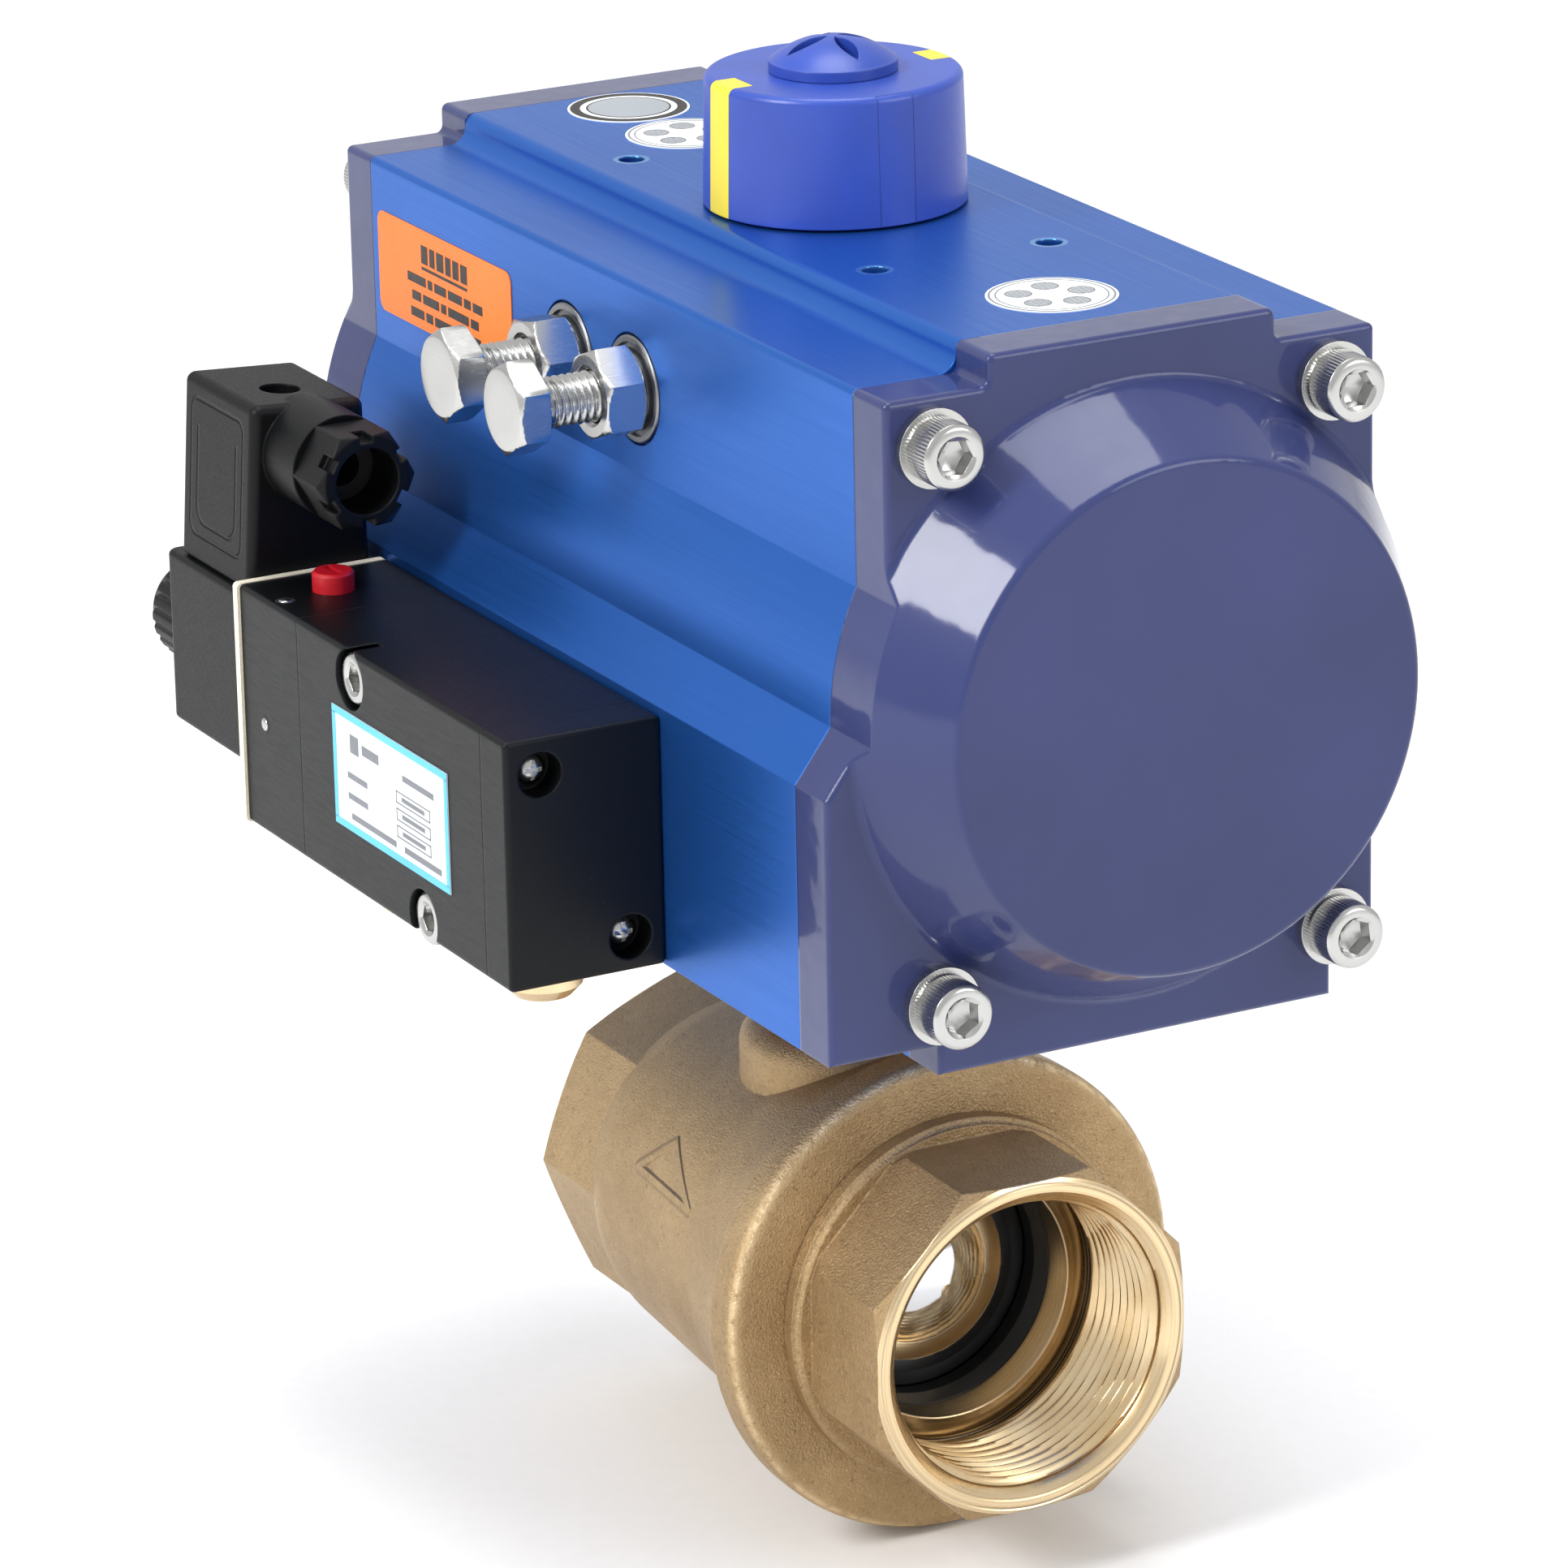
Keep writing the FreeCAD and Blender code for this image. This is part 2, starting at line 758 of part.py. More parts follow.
def return_springs():
    floor = D.body_half + D.cap_depth - D.cap_wall
    seat = D.piston_inner + D.piston_thick - D.recess_depth
    play = 0.2
    for name, side, facing in (("front", 1, "+X"), ("back", -1, "-X")):
        position = actuator(side * (seat + play))
        length = floor - seat - 2 * play
        coil_spring(f"return_spring_{name}", position, facing, D.spring_radius, D.spring_wire, length, 6)


def gear_profile():
    """The pinion's toothed disc: involute flanks, with the first tooth's middle on -Y."""
    teeth = int(SIZES["gear_teeth"])
    pitch = SIZES["gear_module"] * teeth / 2
    base = pitch * math.cos(math.radians(20))
    tip = SIZES["pinion_tip"]
    root = SIZES["pinion_root"]
    half = math.pi / (2 * teeth) - SIZES["tooth_play"] / (4 * pitch)

    def roll(radius):
        """The involute's angle at a radius."""
        tangent = math.sqrt(max((radius / base) ** 2 - 1, 0))
        return tangent - math.atan(tangent)

    def polar(radius, angle):
        return Vector(radius * math.cos(angle), radius * math.sin(angle), 0)

    steps = 6
    radii = [base + (tip - base) * step / steps for step in range(steps + 1)]
    edges = []
    for number in range(teeth):
        middle = -math.pi / 2 + 2 * math.pi * number / teeth
        next_middle = middle + 2 * math.pi / teeth
        rise = [polar(radius, middle - half - roll(pitch) + roll(radius)) for radius in radii]
        fall = [polar(radius, middle + half + roll(pitch) - roll(radius)) for radius in reversed(radii)]
        base_half = half + roll(pitch)
        low_left = polar(root, middle - base_half)
        low_right = polar(root, middle + base_half)
        next_left = polar(root, next_middle - base_half)
        valley = polar(root, (middle + next_middle) / 2)
        for flank in (rise, fall):
            curve = Part.BSplineCurve()
            curve.interpolate(flank)
            edges.append(curve.toShape())
        edges.append(Part.makeLine(low_left, rise[0]))
        edges.append(Part.Arc(rise[-1], polar(tip, middle), fall[0]).toShape())
        edges.append(Part.makeLine(fall[-1], low_right))
        edges.append(Part.Arc(low_right, valley, next_left).toShape())
    return Part.Face(Part.Wire(Part.__sortEdges__(edges)))


def pinion():
    """The pinion: a stepped shaft with teeth, a square socket below and flats on top."""
    shaft = new_body("pinion_shaft", (size(0), size(0), size(0)))
    foot = D.foot_z + 0.15
    groove_low = D.deck_z + 1.15
    groove_high = groove_low + 1.6
    points = [
        (foot, 0),
        (foot, D.lower_journal),
        (-D.gear_half, D.lower_journal),
        (-D.gear_half, D.upper_journal),
        (groove_low, D.upper_journal),
        (groove_low, D.upper_journal - 1),
        (groove_high, D.upper_journal - 1),
        (groove_high, D.upper_journal),
        (groove_high + 1.2, D.upper_journal),
        (groove_high + 1.2, D.stub_radius),
        (D.stub_top, D.stub_radius),
        (D.stub_top, 0),
    ]
    turn(shaft, "Z", points)
    socket = rectangle(*[sign * (D.square_width / 2 + 0.06) for sign in (-1, -1, 1, 1)])
    extrude(shaft, "XY", [socket], foot, foot + 18, cut=True)
    extrude(shaft, "XY", [(0, 0, D.six_shank + 0.05)], D.stub_top, D.stub_top - 14, cut=True)
    teeth = DOC.addObject("Part::Feature", "pinion_teeth")
    half = SIZES["gear_half"]
    teeth.Shape = gear_profile().extrude(Vector(0, 0, 2 * half))
    teeth.Placement = Placement(Vector(0, 0, -half), Rotation())
    joined = DOC.addObject("Part::Fuse", "pinion")
    joined.Base = shaft
    joined.Tool = teeth
    place(joined, actuator())
    DOC.recompute()
    return keep(joined, "pinion")


def pinion_bearings():
    """Bushes and seals in the body, and the washer and snap ring that hold the pinion."""
    play = 0.06
    upper = ring("bush", actuator(0, 0, 40.5), "+Z", D.upper_journal + play, D.upper_bore - 0.02, 9)
    lower = ring("bush", actuator(0, 0, -50), "+Z", D.lower_journal + play, D.lower_bore - 0.02, 9.5)
    group("pinion_bushes", [upper, lower])
    upper = ring("seal", actuator(0, 0, 50.2), "+Z", D.upper_journal + play, D.upper_bore - 0.02, 4)
    lower = ring("seal", actuator(0, 0, -53.8), "+Z", D.lower_journal + play, D.lower_bore - 0.02, 3.6)
    group("pinion_seals", [upper, lower])
    washer = ring("thrust_washer", actuator(0, 0, D.deck_z), "+Z", D.upper_journal + 0.2, 14.6, 1)
    keep(washer, "thrust_washer")
    clip = ring("snap_ring", actuator(0, 0, D.deck_z + 1.25), "+Z", D.upper_journal - 0.95, 13.4, 1.4)
    keep(clip, "snap_ring")


def stop_cam():
    """A cam on the pinion with one flat for each travel stop."""
    body = new_body("stop_cam", actuator())
    hub = 13.5
    face = D.cam_face
    far = 15
    near = 7
    extrude(body, "XY", [(0, 0, hub)], D.cam_low, D.cam_high)
    closed_lobe = [(0, 0), (near, -face), (far, -face), (far, 2), (8, 6)]
    open_lobe = [(0, 0), (6, 8), (2, far), (-face, far), (-face, near)]
    extrude(body, "XY", [closed_lobe], D.cam_low, D.cam_high)
    extrude(body, "XY", [open_lobe], D.cam_low, D.cam_high)
    extrude(body, "XY", [(0, 0, D.upper_journal + 0.02)], D.cam_high, D.cam_low, cut=True)
    return keep(body, "stop_cam")


def travel_stops():
    """The two hexagon screws that set the ends of the turn, with locknuts and sealing washers."""
    bolts, nuts, washers = [], [], []
    for side in (-1, 1):
        across = side * D.stop_x
        bolt = new_body("stop_bolt", actuator(across, -D.stop_head_face, D.stop_z), "-Y")
        under = -D.stop_head_thick
        tip = D.stop_tip - D.stop_head_face
        turn(bolt, "Z", [(tip, 0), (tip, 3.0), (tip + 1, D.stop_shank), (under, D.stop_shank), (under, 0)])
        extrude(bolt, "XY", [polygon(6, D.hex_eight, 30 * (1 + side) / 2 + 12)], under, 0)
        chamfer_cone(bolt, D.hex_eight, 0, 1)
        bolts.append(bolt)
        nut_face = D.wall_y + 0.9
        nut = new_body("stop_nut", actuator(across, -nut_face, D.stop_z), "-Y")
        extrude(nut, "XY", [polygon(6, D.hex_eight, 8 + 20 * (1 + side) / 2)], 0, D.stop_nut_thick)
        extrude(nut, "XY", [(0, 0, D.stop_shank + 0.05)], D.stop_nut_thick, 0, cut=True)
        chamfer_cone(nut, D.hex_eight, D.stop_nut_thick, 1)
        nuts.append(nut)
        washers.append(stop_washer(across))
    group("stop_bolts", bolts)
    group("stop_nuts", nuts)
    group("stop_washers", washers)


def stop_washer(across):
    """A sealing washer in its recess: a rounded steel rim, a groove, and the part under the nut."""
    body = new_body("stop_washer", actuator(across, -D.wall_y + D.stop_recess_depth, D.stop_z), "-Y")
    hole = D.stop_shank + 0.15
    rim_inner = 7.3
    hub = 6.4
    groove_floor = 0.9
    front = 1.5
    hub_front = D.stop_recess_depth + 0.88
    soft = 0.4
    points = [
        (0, hole),
        (0, D.stop_ring),
        (front - soft, D.stop_ring),
        (front, D.stop_ring - soft, soft),
        (front, rim_inner),
        (groove_floor, rim_inner),
        (groove_floor, hub),
        (hub_front, hub),
        (hub_front, hole),
    ]
    return turn(body, "Z", points)


def chamfer_cone(body, flats, face, outward):
    """Turn the corners off a hexagon's end, as on a machined nut. outward is +1 or -1 along Z."""
    inner = size(flats) / 2 - 0.1
    drop = 1.6
    outer = inner + 2.4
    points = [(face, inner), (face, outer), (size(face) - outward * drop, outer)]
    return turn(body, "Z", points, cut=True)


# ---- position indicator ----


def indicator():
    body = new_body("indicator_body", actuator())
    low, high = D.indicator_low, D.indicator_high
    foot, rim = D.indicator_foot, D.indicator_rim
    wall = D.indicator_wall
    cup = [
        (low, foot - wall),
        (low, foot),
        (high - D.indicator_round, rim),
        (high, rim - D.indicator_round, D.indicator_round),
        (high, 3.3),
        (D.stub_top + 0.1, 3.3),
        (D.stub_top + 0.1, rim - wall),
    ]
    turn(body, "Z", cup)
    slots = []
    half = D.stripe_width / 2
    bottom = foot - D.stripe_depth
    for along, across in ((1, 0), (-1, 0), (0, 1), (0, -1)):
        slots.append(stripe_plan(along, across, bottom, half))
    extrude(body, "XY", slots, high, low, cut=True)
    folds = [stripe_plan(0, across, rim - D.stripe_fold, half) for across in (1, -1)]
    extrude(body, "XY", folds, high, high - D.stripe_depth, cut=True)
    keep(body, "indicator_body")
    group("indicator_stripes", [indicator_insert(0, 1), indicator_insert(0, -1)])
    group("indicator_panels", [indicator_insert(1, 0), indicator_insert(-1, 0)])
    knob = new_body("indicator_knob", actuator(0, 0, D.indicator_high))
    skirt = 1.7
    crown = 5.3
    crown_flat = 0.5
    dome_rim = D.knob_radius - 0.4
    top = [
        (-12, 0),
        (-12, D.six_shank),
        (0.05, D.six_shank),
        (0.05, D.knob_radius),
        (skirt, D.knob_radius),
        (skirt + 0.2, dome_rim),
        (crown, crown_flat, 15.25),
        (crown, 0),
    ]
    turn(knob, "Z", top)
    leaf_start, leaf_end, leaf_arc = 0.8, 8.0, 5.6
    leaves = []
    for across, up in ((1, 0), (0, 1), (-1, 0), (0, -1)):
        near = (across * leaf_start, up * leaf_start, leaf_arc)
        far = (across * leaf_end, up * leaf_end, leaf_arc)
        leaves.append([near, far])
    extrude(knob, "XY", leaves, crown + 1, crown - 2.7, cut=True)
    return keep(knob, "indicator_knob")


def stripe_plan(along, across, bottom, half):
    """A stripe's slot in plan, out of the indicator's wall, towards one of four sides."""
    far = D.indicator_foot + 1
    if along:
        return rectangle(along * bottom, -half, along * far, half)
    return rectangle(-half, across * bottom, half, across * far)


def indicator_insert(along, across):
    """A coloured bar in a slot of the indicator, following its tapered wall."""
    body = new_body("indicator_insert", actuator())
    play = 0.05
    low, high = D.indicator_low, D.indicator_high
    half = D.stripe_width / 2 - play
    bottom = D.indicator_foot - D.stripe_depth + play
    extrude(body, "XY", [stripe_plan(along, across, bottom, half)], low, high)
    if across:
        folded = stripe_plan(0, across, D.indicator_rim - D.stripe_fold + play, half)
        extrude(body, "XY", [folded], high - D.stripe_depth + play, high)
    soft = D.indicator_round
    outside = [
        (low - 1, D.indicator_foot),
        (low, D.indicator_foot),
        (high - soft, D.indicator_rim),
        (high, D.indicator_rim - soft, soft),
        (high + 1, D.indicator_rim - soft),
        (high + 1, D.indicator_foot + 4),
        (low - 1, D.indicator_foot + 4),
    ]
    return turn(body, "Z", outside, cut=True)


# ---- labels ----


def labels():
    thick = 0.15
    caution = new_body("caution_label", actuator())
    plate = rounded(size(-79), size(25.4), size(-30.6), size(42), 2.0)
    extrude(caution, "XZ", [plate], -D.wall_y, -D.wall_y - thick)
    keep(caution, "caution_label")
    discs = []
    for along in (-70.4, -49.8, 67.0):
        disc = new_body("deck_label", actuator(along, 0, D.deck_z))
        discs.append(extrude(disc, "XY", [(0, 0, 9.9)], 0, thick))
    group("deck_labels", discs)
    info = new_body("info_label", actuator())
    plate = rectangle(-22.6, -39.2, 18.4, -19.8)
    extrude(info, "XZ", [plate], -D.block_front, -D.block_front - thick)
    return keep(info, "info_label")


# ---- solenoid valve ----


def block(label, left, right):
    """A block of the solenoid valve between two positions along X."""
    body = new_body(label, actuator())
    plan = rounded(-D.block_front, D.block_bottom, -D.pad_y, D.block_top, D.block_round)
    extrude(body, "YZ", [plan], left, right)
    return keep(body, label)


def main_block():
    body = block("main_block", D.main_left + 0.02, D.cover_left)
    spool_bore = [(D.spool_y, D.spool_z, D.spool_radius)]
    extrude(body, "YZ", spool_bore, D.main_left, D.cover_left, cut=True)
    first, second = namur_places()
    drilled = [(x, z, D.five_shank + 0.15) for x, z in (first, second)]
    extrude(body, "XZ", drilled, -D.block_front, -D.pad_y, cut=True)
    sunk = [(x, z, D.five_head + 0.6) for x, z in (first, second)]
    extrude(body, "XZ", sunk, -D.block_front, -D.block_front + D.fixing_depth, cut=True)
    outlets = [(D.port_x + side * D.port_pitch_x / 2, D.port_z, 3.5) for side in (-1, 1)]
    extrude(body, "XZ", outlets, -D.pad_y, D.spool_y, cut=True)
    rings = [(D.port_x + side * D.port_pitch_x / 2, D.port_z, 6.6) for side in (-1, 1)]
    extrude(body, "XZ", rings, -D.pad_y, -D.pad_y - 1.6, cut=True)
    supply = [(exhaust_x(0), D.spool_y, 5.9)]
    extrude(body, "XY", supply, D.block_bottom, D.block_bottom + 10, cut=True)
    feeds = [(exhaust_x(place_number), D.spool_y, 2.5) for place_number in (-1, 0, 1)]
    extrude(body, "XY", feeds, D.block_bottom, D.spool_z, cut=True)
    exhausts = [(exhaust_x(place_number), D.spool_y, 4.85) for place_number in (-1, 1)]
    extrude(body, "XY", exhausts, D.block_bottom, D.block_bottom + 8, cut=True)
    return body


def exhaust_x(number):
    """The three ports under the block: -1 and +1 are exhausts, and 0 is the supply."""
    return number * size(22.9) - 1.3


def namur_places():
    """The two fixing screws, on opposite corners of the 24 by 32 pattern."""
    half_x, half_z = D.port_pitch_x / 2, D.port_pitch_z / 2
    return (D.port_x - half_x, D.port_z + half_z), (D.port_x + half_x, D.port_z - half_z)


def valve_parts():
    main_block()
    pilot = block("pilot_block", D.pilot_left, D.main_left - 0.02)
    hole = [(D.button_x, D.button_y, D.button_radius + 0.08)]
    extrude(pilot, "XY", hole, D.block_top, D.block_top - 10, cut=True)
    seat = [(D.spool_y, D.tube_z, D.tube_radius + 0.1)]
    extrude(pilot, "YZ", seat, D.pilot_left, D.pilot_left + 6, cut=True)
    extrude(pilot, "YZ", [(D.spool_y, D.spool_z, 4.0)], D.main_left, D.main_left - 12, cut=True)
    button = new_body("manual_button", actuator(D.button_x, D.button_y, D.block_top))
    cap = D.button_top - D.block_top
    points = [
        (-7, 0),
        (-7, D.button_radius),
        (cap - 0.4, D.button_radius),
        (cap, D.button_radius - 0.4),
        (cap, 0),
    ]
    turn(button, "Z", points)
    extrude(button, "XY", [rectangle(-2.4, -0.5, 2.4, 0.5)], cap, cap - 0.8, cut=True)
    keep(button, "manual_button")
    end_cover()
    spool()
    fixings()


def end_cover():
    cover = block("end_cover", D.cover_left + 0.04, D.cover_right)
    outer_face = SIZES["cover_right"]
    soften(cover, D.block_round, lambda middle: abs(middle.x - outer_face) < 0.01)
    places = ((-72.4, -15.3), (-58.0, -43.6))
    extrude(cover, "YZ", [(y, z, 3.6) for y, z in places], D.cover_right, D.cover_right - 4.6, cut=True)
    extrude(cover, "YZ", [(y, z, 1.6) for y, z in places], D.cover_right, D.cover_left, cut=True)
    extrude(cover, "YZ", [(D.spool_y, D.spool_z, 5.0)], D.cover_left, D.cover_left + 4, cut=True)
    screws = []
    for y, z in places:
        screw = new_body("cover_screw", actuator(D.cover_right - 4.6, y, z), "+X")
        outline = [(-3.5, 0), (-3.5, 1.5), (0.02, 1.5), (0.02, 2.4), (1.2, 2.4), (2.3, 0.9, 3.0), (2.4, 0)]
        turn(screw, "Z", outline)
        slot = 0.35
        extrude(screw, "XY", [rectangle(-1.5, -slot, 1.5, slot)], 3, 1.3, cut=True)
        extrude(screw, "XY", [rectangle(-slot, -1.5, slot, 1.5)], 3, 1.3, cut=True)
        screws.append(screw)
    return group("cover_screws", screws)


def spool():
    """The sliding spool and its return spring."""
    body = new_body("spool", actuator(0, D.spool_y, D.spool_z))
    land = D.spool_radius - 0.04
    waist = 3.6
    start = D.main_left + 2
    pitch = 12.0
    points = [(start, 0)]
    for number in range(4):
        low = start + number * pitch
        points += [(low, land), (low + 7, land), (low + 7, waist), (low + pitch, waist)]
    last = start + 4 * pitch
    points += [(last, land), (last + 3, land), (last + 3, 0)]
    turn(body, "X", points)
    keep(body, "spool")
    spring_start = last + 3.1
    length = D.cover_left + 3.9 - spring_start
    position = actuator(spring_start, D.spool_y, D.spool_z)
    coil_spring("spool_spring", position, "+X", 4.0, 0.55, length, 6)


def fixings():
    """The block's fixing screws, its interface O-rings and its silencers."""
    screws = []
    for x, z in namur_places():
        under = -D.block_front + D.fixing_depth
        screws.append(
            socket_screw(
                "namur_screw",
                actuator(x, under, z),
                "-Y",
                D.five_head,
                D.five_head_long,
                D.five_shank,
                27.5,
                4,
            )
        )
    group("namur_screws", screws)
    rings = []
    for side in (-1, 1):
        position = actuator(D.port_x + side * D.port_pitch_x / 2, -D.pad_y, D.port_z)
        rings.append(ring("port_ring", position, "-Y", 4.6, 6.5, 1.55))
    group("port_rings", rings)
    silencers = []
    for number in (-1, 1):
        body = new_body("silencer", actuator(exhaust_x(number), D.spool_y, D.block_bottom))
        points = [(7, 0), (7, 4.75), (-0.05, 4.75), (-0.05, 6.3), (-5.4, 6.3), (-7.2, 4.6), (-7.2, 0)]
        silencers.append(turn(body, "Z", points))
    group("silencers", silencers)


def coil():
    """The gasket, the coil and the armature tube with its plunger and nut."""
    gasket_left = D.pilot_left - D.gasket_thick
    gasket = new_body("coil_gasket", actuator())
    proud = 0.5
    left, right = -D.block_front - proud, -D.pad_y - 0.3
    plan = rounded(left, D.block_bottom - 0.1, right, D.block_top + 0.15, D.block_round)
    extrude(gasket, "YZ", [plan], gasket_left, D.pilot_left)
    hole = [(D.spool_y, D.tube_z, D.tube_radius + 0.1)]
    extrude(gasket, "YZ", hole, D.pilot_left, gasket_left, cut=True)
    keep(gasket, "coil_gasket")
    body = new_body("coil_housing", actuator())
    round_edge = 2.0
    left, right = D.coil_left, gasket_left - 0.02
    front, back = -D.coil_front, -D.coil_back
    plan = [
        (right, front),
        (right, back),
        (left + round_edge, back),
        (left, back - round_edge, round_edge),
        (left, front + round_edge),
        (left + round_edge, front, round_edge),
    ]
    extrude(body, "XY", [plan], D.coil_bottom, D.coil_top)
    top, bottom = SIZES["coil_top"], SIZES["coil_bottom"]
    soften(body, 0.9, lambda middle: abs(middle.z - top) < 0.01 or abs(middle.z - bottom) < 0.01)
    extrude(body, "YZ", hole, right + 1, left - 1, cut=True)
    keep(body, "coil_housing")
    tube = new_body("armature_tube", actuator(0, D.spool_y, D.tube_z))
    inner = 3.9
    mouth = D.pilot_left + 5.5
    end = D.coil_left - 11
    points = [
        (end, 0),
        (end, D.tube_radius),
        (mouth, D.tube_radius),
        (mouth, inner),
        (-78, inner),
        (-78, 0),
    ]
    turn(tube, "X", points)
    keep(tube, "armature_tube")
    plunger = new_body("plunger", actuator(0, D.spool_y, D.tube_z))
    turn(plunger, "X", [(-76.4, 0), (-76.4, inner - 0.08), (-54, inner - 0.08), (-54, 0)])
    keep(plunger, "plunger")
    nut = new_body("coil_nut", actuator(D.coil_left - 0.02, D.spool_y, D.tube_z), "-X")
    radius = D.coil_nut_radius
    long = D.coil_nut_long
    bore = D.tube_radius + 0.05
    points = [
        (0, bore),
        (0, radius - 0.6),
        (1, radius),
        (long - 2.0, radius - 0.4),
        (long, radius - 2.4, 2.0),
        (long, 0),
        (11.1, 0),
        (11.1, bore),
    ]
    turn(nut, "Z", points)
    return keep(nut, "coil_nut")


def plug():
    """The plug connector on the coil, with its gasket, screw and cable gland."""
    base = D.coil_top + 0.6
    right = D.pilot_left - D.gasket_thick - 0.15
    front, back = -D.plug_front_low, -D.plug_back
    gasket = new_body("plug_gasket", actuator())
    plan = rectangle(D.plug_left + 0.8, front + 0.8, right - 0.8, back - 0.8)
    extrude(gasket, "XY", [plan], D.coil_top + 0.02, base)
    screw_x, screw_y = size(-68.4), size(-64.6)
    extrude(gasket, "XY", [(screw_x, screw_y, 1.7)], base, D.coil_top, cut=True)
    keep(gasket, "plug_gasket")
    body = new_body("plug_housing", actuator())
    low = base + 0.02
    side_view = [(front, low), (back, low), (back, D.plug_top_back), (-D.plug_front_high, D.plug_top_front)]
    extrude(body, "YZ", [side_view], D.plug_left, right)
    seam = low.number
    soften(body, 1.6, lambda middle: middle.z > seam + 0.01)
    boss_end = D.gland_face - D.gland_nut_long - 0.1
    extrude(body, "YZ", [(D.gland_y, D.gland_z, D.gland_boss)], right - 4, boss_end)
    gland_bore = D.gland_hole + 1.8
    extrude(body, "YZ", [(D.gland_y, D.gland_z, gland_bore)], boss_end, boss_end - 9, cut=True)
    sunk = D.plug_top_front - 6
    extrude(body, "XY", [(screw_x, screw_y, 3.3)], D.plug_top_front, sunk, cut=True)
    extrude(body, "XY", [(screw_x, screw_y, 1.65)], D.plug_top_front, low, cut=True)
    keep(body, "plug_housing")
    screw = new_body("plug_screw", actuator(screw_x, screw_y, sunk))
    turn(screw, "Z", [(-24.2, 0), (-24.2, 1.5), (0.02, 1.5), (0.02, 2.9), (1.8, 2.9), (2.2, 2.5), (2.2, 0)])
    extrude(screw, "XY", [rectangle(-3, -0.4, 3, 0.4)], 2.2, 1.2, cut=True)
    keep(screw, "plug_screw")
    inside = actuator(boss_end - 8.9, D.gland_y, D.gland_z)
    bush = ring("gland_bush", inside, "+X", 3.1, gland_bore - 0.1, 8.6)
    keep(bush, "gland_bush")
    return gland_nut(boss_end + 0.05)


def gland_nut(start):
    """The cable gland's hexagon nut, with a notch in the middle of each flat at its front."""
    nut = new_body("gland_nut", actuator(start, D.gland_y, D.gland_z), "+X")
    long = D.gland_nut_long
    extrude(nut, "XY", [polygon(6, D.gland_flats, 90)], 0, long)
    chamfer_cone(nut, D.gland_flats, long, 1)
    notch_half, notch_depth, notch_long = 1.1, 1.2, 3.5
    flat = D.gland_flats / 2
    notches = [spoke(60 * number, flat - notch_depth, flat + 1, notch_half) for number in range(6)]
    extrude(nut, "XY", notches, long, long - notch_long, cut=True)
    extrude(nut, "XY", [(0, 0, D.gland_hole)], long, 0, cut=True)
    return keep(nut, "gland_nut")


def spoke(degrees, inner, outer, half):
    """A bar between two radii at an angle, as an outline."""
    across, up = math.cos(math.radians(degrees)), math.sin(math.radians(degrees))
    points = []
    for radius, offset in ((inner, -half), (outer, -half), (outer, half), (inner, half)):
        points.append((radius * across - offset * up, radius * up + offset * across))
    return points


# ---- ball valve ----


def cone_cut(start, inner, end, outer):
    """An outline that turns the corners off an octagon between two positions along X."""
    return [(start, inner), (start, outer), (end, outer)]


def ball_valve_body():
    body = new_body("ball_valve_body", valve())
    rear = D.rear_face
    extrude(body, "YZ", [polygon(8, D.octagon_flats, 0)], rear, -20)
    edge = 2.4
    barrel = [
        (-40, 0),
        (-40, 26.6),
        (-31, 30.4, -16.0),
        (4, 32.8),
        (D.flange_back - 3, 36.4),
        (D.flange_back, D.flange_radius - edge, 4.0),
        (D.flange_back + edge, D.flange_radius, -edge),
        (D.flange_front - edge, D.flange_radius),
        (D.flange_front, D.flange_radius - edge, -edge),
        (D.flange_front, 0),
    ]
    turn(body, "X", barrel)
    rim = D.octagon_flats / 2
    turn(body, "X", cone_cut(rear, rim - 0.2, rear + 1.8, rim + 3), cut=True)
    boss = [(10, 0), (10, D.boss_foot), (33, D.boss_foot), (37, D.boss_radius, 4.0)]
    boss += [(D.pad_low, D.boss_radius), (D.pad_low, 0)]
    turn(body, "Z", boss)
    pad_top = D.axis_height + D.foot_z - 0.02
    half = D.pad_half
    trim = 7.0
    plan = [
        (-half, -half + trim),
        (-half + trim, -half, trim),
        (half - trim, -half),
        (half, -half + trim, trim),
        (half, half - trim),
        (half - trim, half, trim),
        (-half + trim, half),
        (-half, half - trim, trim),
    ]
    extrude(body, "XY", [plan], D.pad_low, pad_top)
    body_bore(body, pad_top)
    return keep(body, "ball_valve_body")


def body_bore(body, pad_top):
    """The ball's cavity, the rear port, the seat pocket, the stem hole and the pad's holes."""
    bore = [
        (D.flange_front + 1, 0),
        (D.flange_front + 1, D.spigot_radius),
        (D.cavity_end, D.spigot_radius),
        (D.cavity_end, D.cavity_valve),
        (0, D.cavity_valve),
        (D.cavity_neck_x, D.cavity_neck),
        (D.cavity_neck_x, D.seat_pocket),
    ]
    turn(body, "X", bore + port_outline(-1, D.rear_face), cut=True)
    stem = D.stem_radius + 0.08
    chamber = 40
    hole = [
        (20, 0),
        (20, 10),
        (D.collar_seat, 10),
        (D.collar_seat, stem),
        (chamber, stem),
        (chamber, D.packing_radius),
        (pad_top + 1, D.packing_radius),
        (pad_top + 1, 0),
    ]
    turn(body, "Z", hole, cut=True)
    foot = D.mount_circle * (math.sqrt(0.5) / 2)
    fixings = [(x, y, D.six_shank + 0.2) for x, y in corners(foot, foot)]
    extrude(body, "XY", fixings, pad_top, D.pad_low - 12, cut=True)


